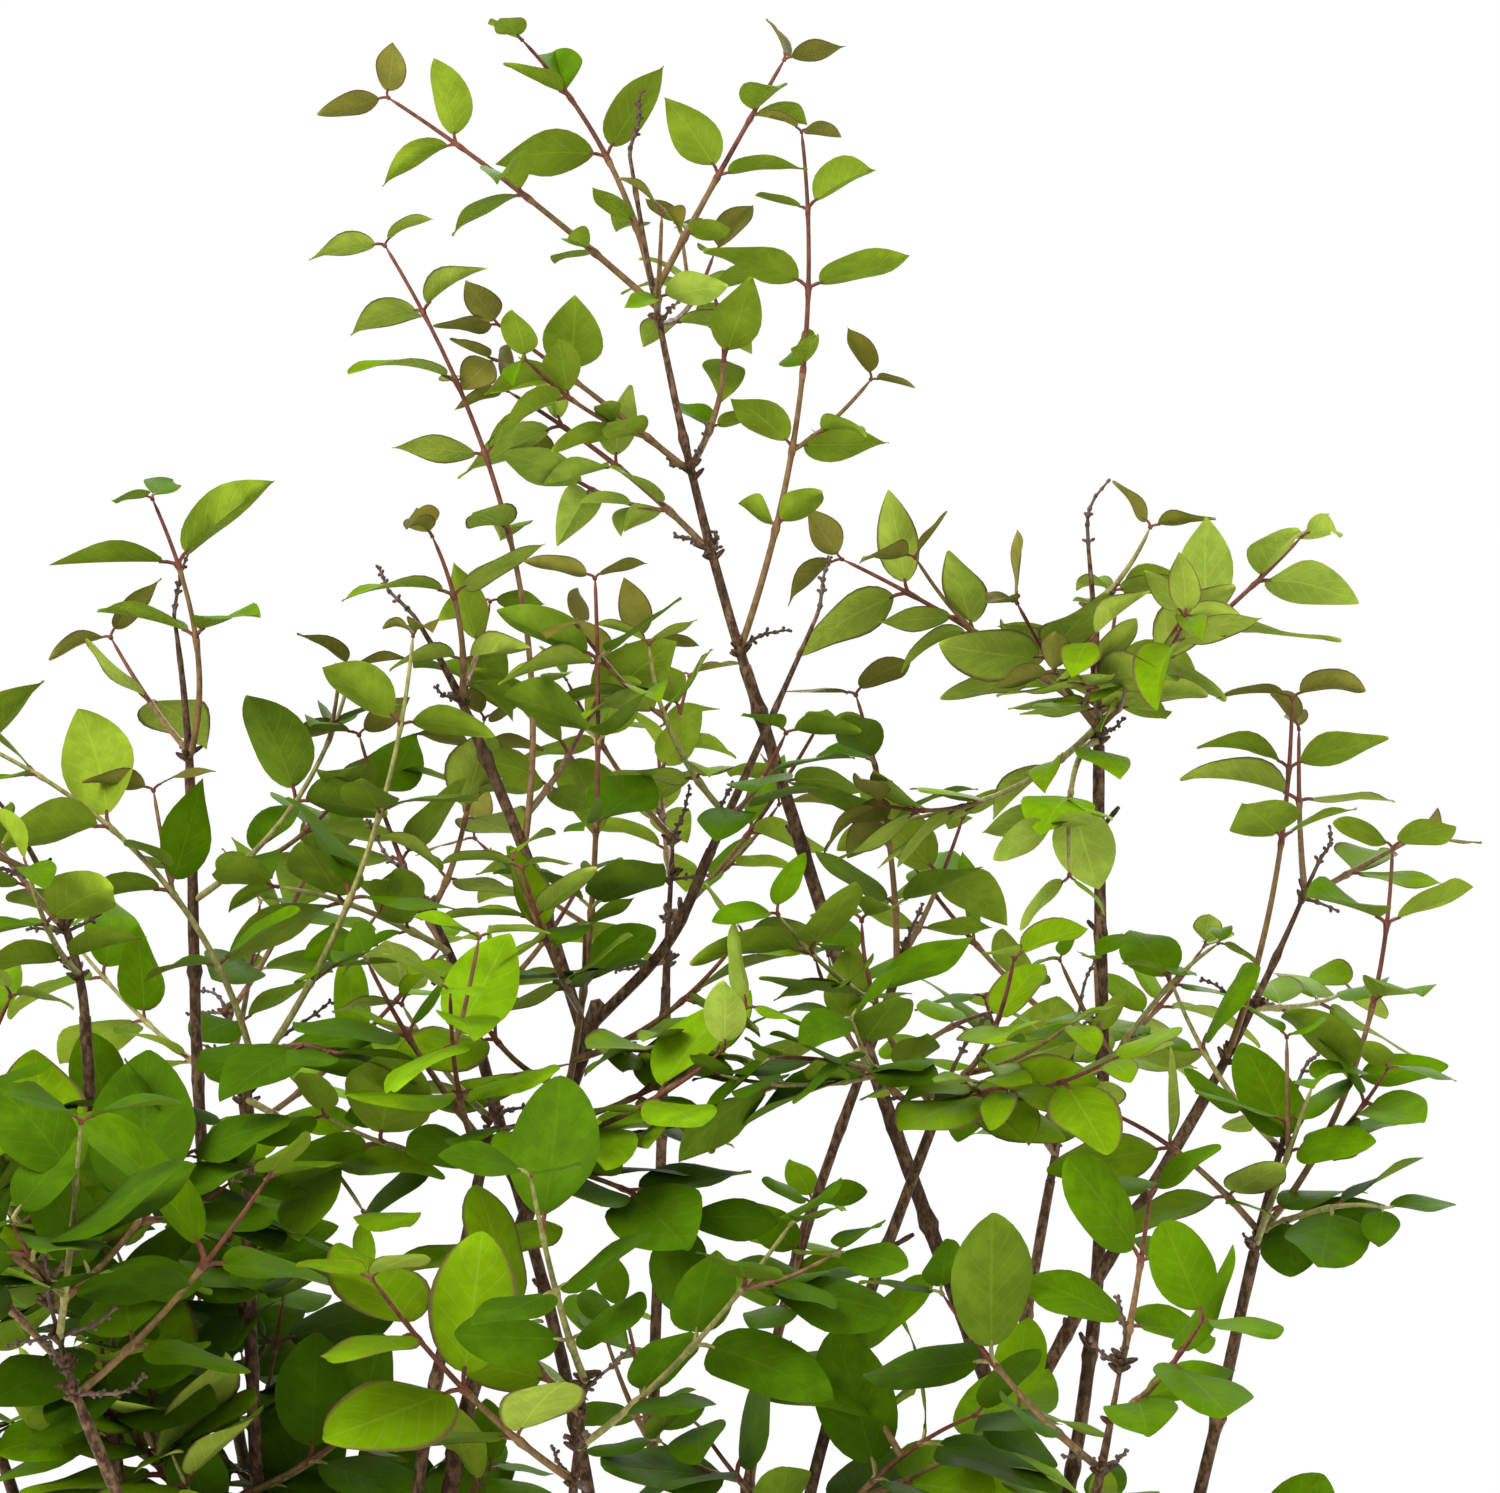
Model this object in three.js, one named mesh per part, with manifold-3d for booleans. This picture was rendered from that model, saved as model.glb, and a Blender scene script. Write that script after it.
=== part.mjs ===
// A snowberry shrub of the mother of pearl kind in a plain round nursery pot.
// Thin brown canes rise from the middle of the pot, fork, and carry long leafy shoots.
// Millimetres, +Z up. The origin is the middle of the pot's flat underside.
// The front of the plant faces -Y, and +X is to the right seen from there.

import * as THREE from "three";
import { mergeVertices } from "three/addons/utils/BufferGeometryUtils.js";
import Module from "manifold-3d";

const wasm = await Module();
wasm.setup();

// Pot and compost
const POT_HEIGHT = 220;
const POT_TOP_RADIUS = 130;
const POT_BASE_RADIUS = 100;
const POT_WALL = 2.6;
const POT_RIM_HEIGHT = 22;
const POT_RIM_PROUD = 3.4;
const POT_FOOT_ROUND = 3;
const POT_LIP_ROUND = 1.5;
const POT_SIDES = 30;
const DRAIN_HOLES = 6;
const DRAIN_RADIUS = 7;
const DRAIN_SIDES = 7;
const DRAIN_CIRCLE = 66;
const COMPOST_LEVEL = 200;

// Clearances between pieces that touch on the real plant
const GAP = 0.3;
const LEAF_CLEARANCE = 0.45;

// Canes and boughs: six-sided tapering tubes that flare where they leave the compost
const CANE_SIDES = 6;
const CANE_STEP = 74;
const FLARE = 1.55;
const FOOT_DEPTH = 9;

// Shoots: three-sided tapering twigs. A stem that carries a limb on ends in a dry spike.
const SHOOT_SIDES = 3;
const SHOOT_STEP = 52;
const SHOOT_THICK = 3.4;
const SHOOT_THIN = 2.1;
const SPIKE_THIN = 2.4;
const STEM_REACH = 0.4;
const FIRST_PAIR = 0.24;
const SPIN_MOST = 50;

// Fans: shoots all round a stem, each turned on by the golden angle
const FAN_FIRST = 0.12;
const FAN_SHARE = 0.8;
const FAN_RISE = [28, 62];
const FAN_SAG = 0.06;

// Lower foliage leans out from the middle of the pot
const LOW_LENGTH = [78, 106];
const LOW_RISE = [22, 38];
const LOW_SWING = 46;
const LOW_ARCH = 0.08;
const LOW_PAIRS = 3;
const LOW_SECOND = 0.7;

// Leaves, with angles in degrees. Levelling flattens the way that a leaf points.
const LEAF_LENGTH = 41;
const LEAF_SPREAD = [0.82, 1.18];
const LEAF_WIDTH_SHARE = 0.64;
const LEAF_THICKNESS = 2.2;
const LEAF_WIDEST = 0.46;
const LEAF_ROOT = 0.4;
const LEAF_LEAN = [26, 50];
const LEAF_ROLL = [-22, 22];
const LEVELLING = 0.6;
const LIFT = [-0.2, 0.05];
const TILT = [0.55, 0.45];
const YOUNG_LEAF = 0.6;
const TURNS_TRIED = 5;

// High leaves lean back, away from the front, and low ones lean forward
const LEAN_HEIGHT = 640;
const LEAN_RISE = 150;
const LEAN_MOST = 0.55;

// The numbers drawn for each leaf, and for each fan, low mass and twig
const DRAWS = { lean: 0, roll: 1, lift: 2, tiltX: 3, tiltY: 4, size: 5 };
const DRAWS_PER_LEAF = 6;
const TWIG_DRAWS = { heading: 101, rise: 102, length: 103, spin: 104 };
const SEED_OF_MASSES = 5;
const SEED_STEP = 1.7;
const SHOOT_SEED_STEP = 0.37;
const TURN_SEED_STEP = 0.13;

// The space of the whole crown, which no leaf leaves
const CROWN = new THREE.Box3(new THREE.Vector3(-292, -252, 262), new THREE.Vector3(287, 252, 960));

const FINISHES = {
  pot: { color: 0x2f3133, roughness: 0.55 },
  compost: { color: 0x3a2a1e, roughness: 0.95 },
  bark: { color: 0x5a4436, roughness: 0.8 },
  foliage: { color: 0x5f8f35, roughness: 0.6 },
};

// Canes rise from the compost at their foot, and boughs leave a cane at a height on it.
// Each passes through one bend and stops at its end, where its foliage takes over.
const LIMBS = {
  right_cane: { foot: [42, -8], bend: [123, 4, 480], end: [190, 10, 596], thick: 8.4, thin: 4.6 },
  tall_bough: {
    on: "right_cane", height: 480, bend: [84, 4, 586], end: [35, 0, 738],
    thick: 7, thin: 4.8,
  },
  upright_cane: { foot: [66, 24], bend: [152, 16, 520], end: [154, 12, 712], thick: 7.2, thin: 4.6 },
  far_right_cane: { foot: [80, -18], bend: [182, -24, 462], end: [201, -28, 545], thick: 7, thin: 4.4 },
  middle_cane: { foot: [26, -40], bend: [66, -58, 508], end: [95, -62, 588], thick: 6.4, thin: 4 },
  slender_cane: { foot: [12, 42], bend: [55, 44, 545], end: [86, 46, 632], thick: 6, thin: 3.8 },
  centre_cane: { foot: [-58, -14], bend: [-60, -22, 474], end: [-13, -24, 626], thick: 8.4, thin: 6.2 },
  centre_bough: {
    on: "centre_cane", height: 618, bend: [10, -26, 646], end: [24, -26, 676],
    thick: 5, thin: 4.2,
  },
  upper_bough: {
    on: "centre_cane", height: 612, bend: [-36, -22, 672], end: [-56, -20, 720],
    thick: 5.4, thin: 4.2,
  },
  inner_cane: { foot: [-8, 10], bend: [-18, 2, 470], end: [-56, -2, 622], thick: 7, thin: 4.4 },
  spiked_cane: { foot: [-34, -44], bend: [-70, -58, 462], end: [-49, -62, 574], thick: 6.6, thin: 4.2 },
  bare_cane: { foot: [-64, 40], bend: [-148, 32, 560], end: [-154, 30, 704], thick: 6.8, thin: 4.2 },
  arching_cane: {
    foot: [-84, 12], bend: [-124, -26, 476], end: [-127, -32, 594],
    thick: 7.6, thin: 4.6,
  },
  leaning_cane: {
    foot: [-90, -16], bend: [-166, -52, 480], end: [-176, -58, 622],
    thick: 7.4, thin: 4.4,
  },
  left_cane: { foot: [-78, -40], bend: [-190, -20, 430], end: [-240, -10, 560], thick: 6.8, thin: 4.2 },
  front_left_cane: {
    foot: [-58, -64], bend: [-128, -138, 420], end: [-160, -164, 506],
    thick: 6.4, thin: 4.2,
  },
  front_cane: { foot: [-8, -72], bend: [-24, -132, 400], end: [-16, -156, 480], thick: 6.4, thin: 4.2 },
  front_right_cane: {
    foot: [52, -58], bend: [124, -128, 400], end: [140, -150, 482],
    thick: 6.4, thin: 4.2,
  },
  back_cane: { foot: [-6, 72], bend: [2, 130, 480], end: [6, 146, 630], thick: 6.8, thin: 4.2 },
  back_left_cane: {
    foot: [-46, 66], bend: [-124, 128, 440], end: [-146, 146, 570],
    thick: 6.6, thin: 4.2,
  },
  back_right_cane: {
    foot: [50, 62], bend: [120, 122, 430], end: [146, 142, 560],
    thick: 6.6, thin: 4.2,
  },
};

// Each mass of foliage has one stem, which goes on from its limb's end or leaves the limb's side
// at a height. Shoots leave the stem at a share of its length, and bow sideways half-way along.
// A fan adds shoots of a given length all round the stem.
const MASSES = {
  tall_crown: {
    on: "tall_bough",
    stem: { to: [-7, 0, 931] },
    shoots: [
      { at: 0.03, to: [52, -8, 908], bow: [10, -2, 0], pairs: 5 },
      { at: 0.2, to: [-45, 14, 832], bow: [3, 4, 2], pairs: 3 },
      { at: 0.34, to: [-46, -16, 850], bow: [-2, -4, 2], pairs: 3 },
      { at: 0.35, to: [24, 26, 868], bow: [7, 4, 0], pairs: 2 },
      { at: 0.63, to: [-80, -6, 920], bow: [-2, -3, 4], pairs: 4 },
      { at: 0.66, to: [-38, 6, 940], bow: [6, 6, 4], pairs: 3 },
      { at: 0.65, to: [46, -10, 926], bow: [-2, -3, -3], pairs: 3 },
      { at: 0.62, to: [8, -52, 902], bow: [0, -4, -4], pairs: 2 },
      { at: 0.6, to: [22, 66, 908], bow: [0, 6, -6], pairs: 3 },
    ],
  },
  right_crown: {
    on: "upright_cane",
    stem: { to: [148, 10, 804] },
    shoots: [
      { at: 0.1, to: [68, 4, 774], bow: [0, -3, 3], pairs: 4 },
      { at: 0.12, to: [200, 8, 776], bow: [3, -3, 0], pairs: 3 },
      { at: 0.5, to: [172, 18, 786], bow: [2, 3, 0], pairs: 2 },
      { at: 0.08, to: [84, -16, 686], bow: [4, -4, -6], pairs: 3 },
      { at: 0.11, to: [146, -56, 742], bow: [0, -4, -4], pairs: 2 },
      { at: 0.14, to: [166, 82, 766], bow: [0, 6, -6], pairs: 3 },
    ],
  },
  far_right_crown: {
    on: "far_right_cane",
    stem: { to: [220, -28, 612] },
    shoots: [
      { at: 0.08, to: [246, -34, 676], bow: [9, -4, -8], pairs: 4 },
      { at: 0.1, to: [236, -72, 562], bow: [2, -6, 4], pairs: 2 },
    ],
  },
  outer_right_crown: {
    on: "right_cane",
    stem: { to: [236, 16, 692] },
    shoots: [
      { at: 0.12, to: [214, -14, 712], bow: [4, -8, -3], pairs: 3 },
      { at: 0.68, to: [256, 34, 676], bow: [4, 4, 2], pairs: 2 },
      { at: 0.7, to: [226, 76, 712], bow: [0, 6, -4], pairs: 3 },
      { at: 0.3, to: [246, 74, 630], bow: [4, 4, -2], pairs: 2 },
    ],
  },
  middle_crown: {
    on: "middle_cane",
    stem: { to: [109, -62, 626] },
    shoots: [
      { at: 0.1, to: [72, -78, 652], bow: [-6, -4, 0], pairs: 2 },
      { at: 0.3, to: [118, -112, 640], bow: [2, -6, -6], pairs: 2 },
      { at: 0.2, to: [44, -112, 610], bow: [0, -6, 4], pairs: 2 },
    ],
  },
  slender_crown: {
    on: "slender_cane",
    stem: { to: [96, 48, 660] },
    shoots: [
      { at: 0.1, to: [73, 34, 730], bow: [4, -2, 0], pairs: 3 },
      { at: 0.4, to: [112, 94, 690], bow: [0, 6, -4], pairs: 2 },
    ],
  },
  centre_crown: {
    on: "centre_bough",
    stem: { to: [67, -24, 772] },
    shoots: [
      { at: 0.1, to: [48, -66, 712], bow: [0, -5, -4], pairs: 2 },
      { at: 0.12, to: [4, -44, 742], bow: [-5, -3, -2], pairs: 3 },
    ],
  },
  fork_foliage: {
    on: "centre_cane",
    height: 592,
    stem: { to: [-13, -60, 762], bow: [5, -12, -10], pairs: 4 },
    shoots: [{ at: 0.2, to: [-34, -98, 668], bow: [0, -6, -4], pairs: 2 }],
  },
  upper_crown: {
    on: "upper_bough",
    stem: { to: [-86, -22, 771] },
    shoots: [
      { at: 0.1, to: [-67, -34, 778], bow: [4, -3, 0], pairs: 2 },
      { at: 0.15, to: [-52, 32, 762], bow: [0, 5, -4], pairs: 2 },
    ],
  },
  long_shoot: {
    on: "upper_bough",
    height: 676,
    stem: { to: [-86, 6, 880], bow: [19, 4, 0], pairs: 5 },
    shoots: [{ at: 0.06, to: [-12, 52, 740], bow: [0, 6, -4], pairs: 2 }],
  },
  inner_crown: {
    on: "inner_cane",
    stem: { to: [-88, -8, 688] },
    shoots: [
      { at: 0.2, to: [-96, 28, 716], bow: [-2, 5, -4], pairs: 2 },
      { at: 0.3, to: [-118, -22, 664], bow: [-2, -4, 4], pairs: 2 },
      { at: 0.5, to: [-58, 46, 712], bow: [2, 4, -4], pairs: 2 },
    ],
  },
  spiked_crown: {
    on: "spiked_cane",
    stem: { to: [-44, -66, 598] },
    shoots: [
      { at: 0.2, to: [28, -116, 612], bow: [2, -6, -6], pairs: 3 },
      { at: 0.3, to: [-82, -104, 640], bow: [-2, -6, 0], pairs: 3 },
    ],
  },
  bare_crown: {
    on: "bare_cane",
    stem: { to: [-163, 30, 778] },
    shoots: [
      { at: 0.06, to: [-166, 22, 796], bow: [9, -3, -4], pairs: 3 },
      { at: 0.1, to: [-186, 66, 752], bow: [0, 4, -3], pairs: 1 },
    ],
  },
  bare_cane_shoot: {
    on: "bare_cane",
    height: 660,
    stem: { to: [-98, 18, 738], bow: [8, -3, -6], pairs: 3 },
    shoots: [{ at: 0.15, to: [-104, 66, 700], bow: [2, 5, -3], pairs: 2 }],
  },
  arching_crown: {
    on: "arching_cane",
    stem: { to: [-100, -34, 626] },
    shoots: [
      { at: 0.2, to: [-72, -52, 744], bow: [10, -6, -4], pairs: 3 },
      { at: 0.25, to: [-216, -64, 712], bow: [16, -6, 10], pairs: 4 },
      { at: 0.3, to: [-92, -120, 612], bow: [0, -8, 4], pairs: 2 },
    ],
  },
  leaning_crown: {
    on: "leaning_cane",
    stem: { to: [-214, -60, 706] },
    shoots: [
      { at: 0.15, to: [-186, -112, 668], bow: [0, -6, -4], pairs: 2 },
      { at: 0.3, to: [-236, -18, 716], bow: [-2, 5, -2], pairs: 3 },
      { at: 0.5, to: [-248, -84, 696], bow: [-4, -4, 2], pairs: 2 },
    ],
  },
  left_crown: {
    on: "left_cane",
    stem: { to: [-262, -4, 622] },
    fan: { count: 4, length: 74, pairs: 2, seed: 31 },
  },
  front_left_crown: {
    on: "front_left_cane",
    stem: { to: [-172, -172, 560] },
    fan: { count: 5, length: 80, pairs: 3, seed: 32 },
  },
  front_crown: {
    on: "front_cane",
    stem: { to: [-10, -170, 530] },
    fan: { count: 5, length: 82, pairs: 3, seed: 33 },
  },
  front_right_crown: {
    on: "front_right_cane",
    stem: { to: [150, -160, 540] },
    fan: { count: 4, length: 82, pairs: 3, seed: 34 },
  },
  back_crown: {
    on: "back_cane",
    stem: { to: [10, 156, 706] },
    fan: { count: 4, length: 88, pairs: 3, seed: 35 },
  },
  back_left_crown: {
    on: "back_left_cane",
    stem: { to: [-158, 156, 640] },
    fan: { count: 4, length: 86, pairs: 2, seed: 36 },
  },
  back_right_crown: {
    on: "back_right_cane",
    stem: { to: [160, 154, 640] },
    fan: { count: 4, length: 86, pairs: 2, seed: 37 },
  },
};

// Lower side foliage: the limb it leaves, and the height at which it does.
const LOW_FOLIAGE = [
  ["right_cane", 372],
  ["tall_bough", 598],
  ["upright_cane", 600],
  ["far_right_cane", 420],
  ["middle_cane", 440],
  ["slender_cane", 500],
  ["centre_cane", 400],
  ["front_right_cane", 350],
  ["bare_cane", 480],
  ["arching_cane", 440],
  ["leaning_cane", 520],
  ["left_cane", 350],
  ["back_cane", 460],
  ["back_right_cane", 400],
];

// The same number from 0 to 1 for the same seed and place in the sequence.
function dice(seed, place) {
  const wave = Math.sin(seed * 12.9898 + place * 78.233) * 43758.5453;
  return wave - Math.floor(wave);
}

function between([low, high], share) {
  return low + (high - low) * share;
}

function radians(degrees) {
  return THREE.MathUtils.degToRad(degrees);
}

function vector([x, y, z]) {
  return new THREE.Vector3(x, y, z);
}

// A direction from its compass heading in radians and its rise in degrees.
function directionOf(heading, rise) {
  return new THREE.Vector3(Math.cos(heading), Math.sin(heading), Math.tan(radians(rise))).normalize();
}

function solidFrom(geometry) {
  geometry.deleteAttribute("normal");
  geometry.deleteAttribute("uv");
  const merged = mergeVertices(geometry, 1e-4);
  const vertProperties = new Float32Array(merged.attributes.position.array);
  const triVerts = new Uint32Array(merged.index.array);
  return new wasm.Manifold(new wasm.Mesh({ numProp: 3, vertProperties, triVerts }));
}

function geometryFrom(solid) {
  const { vertProperties, triVerts } = solid.getMesh();
  const geometry = new THREE.BufferGeometry();
  geometry.setAttribute("position", new THREE.BufferAttribute(vertProperties, 3));
  geometry.setIndex(new THREE.BufferAttribute(triVerts, 1));
  geometry.computeVertexNormals();
  return geometry;
}

// A line that runs straight from each point to the next.
function straightBetween(points) {
  return new THREE.CatmullRomCurve3(points, false, "catmullrom", 0);
}

// A curve drawn as straight lines of about one step each, all on the curve at their ends.
function inSteps(curve, step) {
  const steps = Math.max(1, Math.round(curve.getLength() / step));
  return straightBetween(curve.getSpacedPoints(steps));
}

// A cylinder laid along a line of steps, with its own radius at each share of the length.
function taperedTube(line, sides, radiusAt) {
  const steps = line.points.length - 1;
  const tube = new THREE.CylinderGeometry(1, 1, 1, sides, steps);
  const { normals, binormals } = line.computeFrenetFrames(steps);
  const position = tube.attributes.position;
  const local = new THREE.Vector3();
  for (let i = 0; i < position.count; i += 1) {
    local.fromBufferAttribute(position, i);
    const share = local.y + 0.5;
    const step = Math.round(share * steps);
    const radius = radiusAt(share);
    const corner = line.points[step].clone();
    corner.addScaledVector(normals[step], local.x * radius);
    corner.addScaledVector(binormals[step], -local.z * radius);
    position.setXYZ(i, corner.x, corner.y, corner.z);
  }
  return solidFrom(tube);
}

function bowedCurve(start, end, bow = [0, 0, 0]) {
  const middle = start.clone().lerp(end, 0.5).addScaledVector(vector(bow), 2);
  return new THREE.QuadraticBezierCurve3(start, middle, end);
}

// A curve that goes on from the end of another, in the same direction at first.
function carriedOn(start, direction, end) {
  const middle = start.clone().addScaledVector(direction, STEM_REACH * start.distanceTo(end));
  return new THREE.QuadraticBezierCurve3(start, middle, end);
}

// The share of a curve's length at which it first reaches a height.
function shareAtHeight(curve, height) {
  let low = 0;
  let high = 1;
  for (let i = 0; i < 24; i += 1) {
    const middle = (low + high) / 2;
    if (curve.getPointAt(middle).z < height) low = middle;
    else high = middle;
  }
  return (low + high) / 2;
}

function limbCurve(limb, limbs) {
  const start = limb.on
    ? limbs[limb.on].curve.getPointAt(shareAtHeight(limbs[limb.on].curve, limb.height))
    : new THREE.Vector3(limb.foot[0], limb.foot[1], COMPOST_LEVEL - FOOT_DEPTH);
  return new THREE.CatmullRomCurve3([start, vector(limb.bend), vector(limb.end)], false, "chordal");
}

// A limb's solid, its line, and the space that its neighbours are cut clear of.
function makeLimb(limb, limbs) {
  const curve = inSteps(limbCurve(limb, limbs), CANE_STEP);
  const flare = limb.on ? 1 : FLARE;
  const radiusAt = (share) => {
    const taper = limb.thick + (limb.thin - limb.thick) * share;
    return (share === 0 ? taper * flare : taper) / 2;
  };
  const clearRadius = GAP / Math.cos(Math.PI / CANE_SIDES);
  const end = curve.getPointAt(1).addScaledVector(curve.getTangentAt(1), GAP);
  const longer = straightBetween([...curve.points.slice(0, -1), end]);
  const clear = taperedTube(longer, CANE_SIDES, (share) => radiusAt(share) + clearRadius);
  let solid = taperedTube(curve, CANE_SIDES, radiusAt);
  solid = limb.on ? solid.subtract(limbs[limb.on].clear) : solid.subtract(ground);
  return { curve, solid, clear, thin: limb.thin };
}

function makePot() {
  const taperAt = (z) => POT_BASE_RADIUS + (POT_TOP_RADIUS - POT_BASE_RADIUS) * (z / POT_HEIGHT);
  const rimFoot = POT_HEIGHT - POT_RIM_HEIGHT;
  const profile = [
    [0, 0],
    [POT_BASE_RADIUS - POT_FOOT_ROUND, 0],
    [POT_BASE_RADIUS, POT_FOOT_ROUND],
    [taperAt(rimFoot), rimFoot],
    [taperAt(rimFoot) + POT_RIM_PROUD, rimFoot + POT_LIP_ROUND],
    [POT_TOP_RADIUS + POT_RIM_PROUD, POT_HEIGHT - POT_LIP_ROUND],
    [POT_TOP_RADIUS + POT_RIM_PROUD - POT_LIP_ROUND, POT_HEIGHT],
    [POT_TOP_RADIUS - POT_WALL, POT_HEIGHT],
    [POT_BASE_RADIUS - POT_WALL, POT_WALL],
    [0, POT_WALL],
  ];
  let pot = solidFrom(turned(profile));
  for (let i = 0; i < DRAIN_HOLES; i += 1) {
    const angle = ((i + 0.5) * 2 * Math.PI) / DRAIN_HOLES;
    const drill = new THREE.CylinderGeometry(DRAIN_RADIUS, DRAIN_RADIUS, 4 * POT_WALL, DRAIN_SIDES);
    drill.rotateX(Math.PI / 2);
    drill.translate(Math.cos(angle) * DRAIN_CIRCLE, Math.sin(angle) * DRAIN_CIRCLE, 0);
    pot = pot.subtract(solidFrom(drill));
  }
  return pot;
}

// A profile of radius and height turned about the upright axis.
function turned(profile) {
  const points = profile.map(([radius, z]) => new THREE.Vector2(radius, z));
  const lathe = new THREE.LatheGeometry(points, POT_SIDES);
  lathe.rotateX(Math.PI / 2);
  return lathe;
}

function makeCompost() {
  const spread = (POT_TOP_RADIUS - POT_BASE_RADIUS) / (POT_HEIGHT - POT_WALL);
  const innerAt = (z) => POT_BASE_RADIUS - POT_WALL + spread * (z - POT_WALL);
  const bottom = POT_WALL + GAP;
  return solidFrom(
    turned([
      [0, bottom],
      [innerAt(bottom) - 2 * GAP, bottom],
      [innerAt(COMPOST_LEVEL) - 2 * GAP, COMPOST_LEVEL],
      [0, COMPOST_LEVEL],
    ]),
  );
}

// A leaf is a tetrahedron drawn out into a thin pointed oval: two corners are its root and tip,
// and the other two its edges at the widest place, raised so that it folds along the midrib.
function makeLeaf(leaf) {
  const shape = new THREE.TetrahedronGeometry(1, 0);
  const position = shape.attributes.position;
  for (let i = 0; i < position.count; i += 1) {
    const edge = position.getZ(i) > 0 ? Math.sign(position.getX(i)) : 0;
    const tip = position.getY(i) > 0;
    const out = edge ? LEAF_WIDEST * leaf.length : tip ? leaf.length : -LEAF_ROOT;
    const corner = leafPoint(leaf, out, edge * leaf.half, edge ? LEAF_THICKNESS : 0);
    position.setXYZ(i, corner.x, corner.y, corner.z);
  }
  return solidFrom(shape);
}

// An octahedron round a leaf, which reaches a clearance further every way.
function makeLeafSpace(leaf) {
  const shape = new THREE.OctahedronGeometry(1, 0);
  const position = shape.attributes.position;
  for (let i = 0; i < position.count; i += 1) {
    const [x, y, z] = [position.getX(i), position.getY(i), position.getZ(i)].map(Math.round);
    let out = LEAF_WIDEST * leaf.length;
    if (y) out = y > 0 ? leaf.length + LEAF_CLEARANCE : -LEAF_ROOT - LEAF_CLEARANCE;
    let up = x ? LEAF_THICKNESS : 0;
    if (z) up = z > 0 ? LEAF_THICKNESS + LEAF_CLEARANCE : -LEAF_CLEARANCE;
    const corner = leafPoint(leaf, out, x * (leaf.half + LEAF_CLEARANCE), up);
    position.setXYZ(i, corner.x, corner.y, corner.z);
  }
  return solidFrom(shape);
}

function leafPoint(leaf, out, across, up) {
  const side = new THREE.Vector3().crossVectors(leaf.along, leaf.face);
  return leaf.base
    .clone()
    .addScaledVector(leaf.along, out)
    .addScaledVector(side, across)
    .addScaledVector(leaf.face, up);
}

// Leaves stand in opposite pairs. On an upright shoot each pair is crossed over the last,
// and on a shoot that leans over they all turn to lie level.
function leafOnPair(shoot, pair, flank, turn) {
  const seed = shoot.seed + TURN_SEED_STEP * turn;
  const draw = (what) => dice(seed, DRAWS_PER_LEAF * (2 * pair + flank) + what);
  const share = shoot.pairs === 1 ? 1 : between([FIRST_PAIR, 1], pair / (shoot.pairs - 1));
  const base = shoot.curve.getPointAt(share);
  const up = shoot.curve.getTangentAt(share);
  const crossed = pair * up.z * up.z * (Math.PI / 2);
  const roll = radians(between(LEAF_ROLL, draw(DRAWS.roll)));
  const lean = radians(between(LEAF_LEAN, draw(DRAWS.lean)));
  const along = new THREE.Vector3(up.y, -up.x, 0)
    .normalize()
    .applyAxisAngle(up, shoot.spin + crossed + roll + flank * Math.PI)
    .multiplyScalar(Math.cos(lean))
    .addScaledVector(up, Math.sin(lean));
  along.z = along.z * LEVELLING + between(LIFT, draw(DRAWS.lift));
  along.normalize();
  const leanBack = THREE.MathUtils.clamp((base.z - LEAN_HEIGHT) / LEAN_RISE, -LEAN_MOST, LEAN_MOST);
  const face = new THREE.Vector3(
    between([-TILT[0], TILT[0]], draw(DRAWS.tiltX)),
    between([-TILT[1], TILT[1]], draw(DRAWS.tiltY)) + leanBack,
    1,
  );
  face.addScaledVector(along, -face.dot(along)).normalize();
  const age = share < 1 ? 1 : YOUNG_LEAF;
  const length = LEAF_LENGTH * age * between(LEAF_SPREAD, draw(DRAWS.size));
  return { base, along, face, length, half: (length * LEAF_WIDTH_SHARE) / 2 };
}

const placed = [];

// A piece keeps clear when its swollen copy cuts none of the pieces placed before it.
function keepsClear(swollen, isOwn) {
  const box = boxOf(swollen);
  return !placed.some((other) => {
    if (isOwn(other) || !box.intersectsBox(other.box)) return false;
    const common = swollen.intersect(other.solid);
    const cut = !common.isEmpty();
    common.delete();
    return cut;
  });
}

function boxOf(solid) {
  const { min, max } = solid.boundingBox();
  return new THREE.Box3(vector(min), vector(max));
}

function place(solid, owner) {
  placed.push({ solid, box: boxOf(solid), ...owner });
}

function shootTube(shoot, clearance) {
  const radiusAt = (share) => (shoot.thick + (shoot.thin - shoot.thick) * share) / 2;
  return taperedTube(shoot.curve, SHOOT_SIDES, (share) => radiusAt(share) + clearance);
}

// Shoots of a fan leave the stem one above the other.
function fanShoots(stem, fan) {
  const golden = Math.PI * (3 - Math.sqrt(5));
  const heading = dice(fan.seed, TWIG_DRAWS.heading) * 2 * Math.PI;
  return Array.from({ length: fan.count }, (_, i) => {
    const at = FAN_FIRST + (FAN_SHARE * i) / fan.count;
    const rise = between(FAN_RISE, dice(fan.seed + i, TWIG_DRAWS.rise));
    const length = fan.length * between(LEAF_SPREAD, dice(fan.seed + i, TWIG_DRAWS.length));
    const to = stem.getPointAt(at).addScaledVector(directionOf(heading + i * golden, rise), length);
    return { at, to: to.toArray(), bow: [0, 0, -FAN_SAG * length], pairs: fan.pairs };
  });
}

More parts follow.
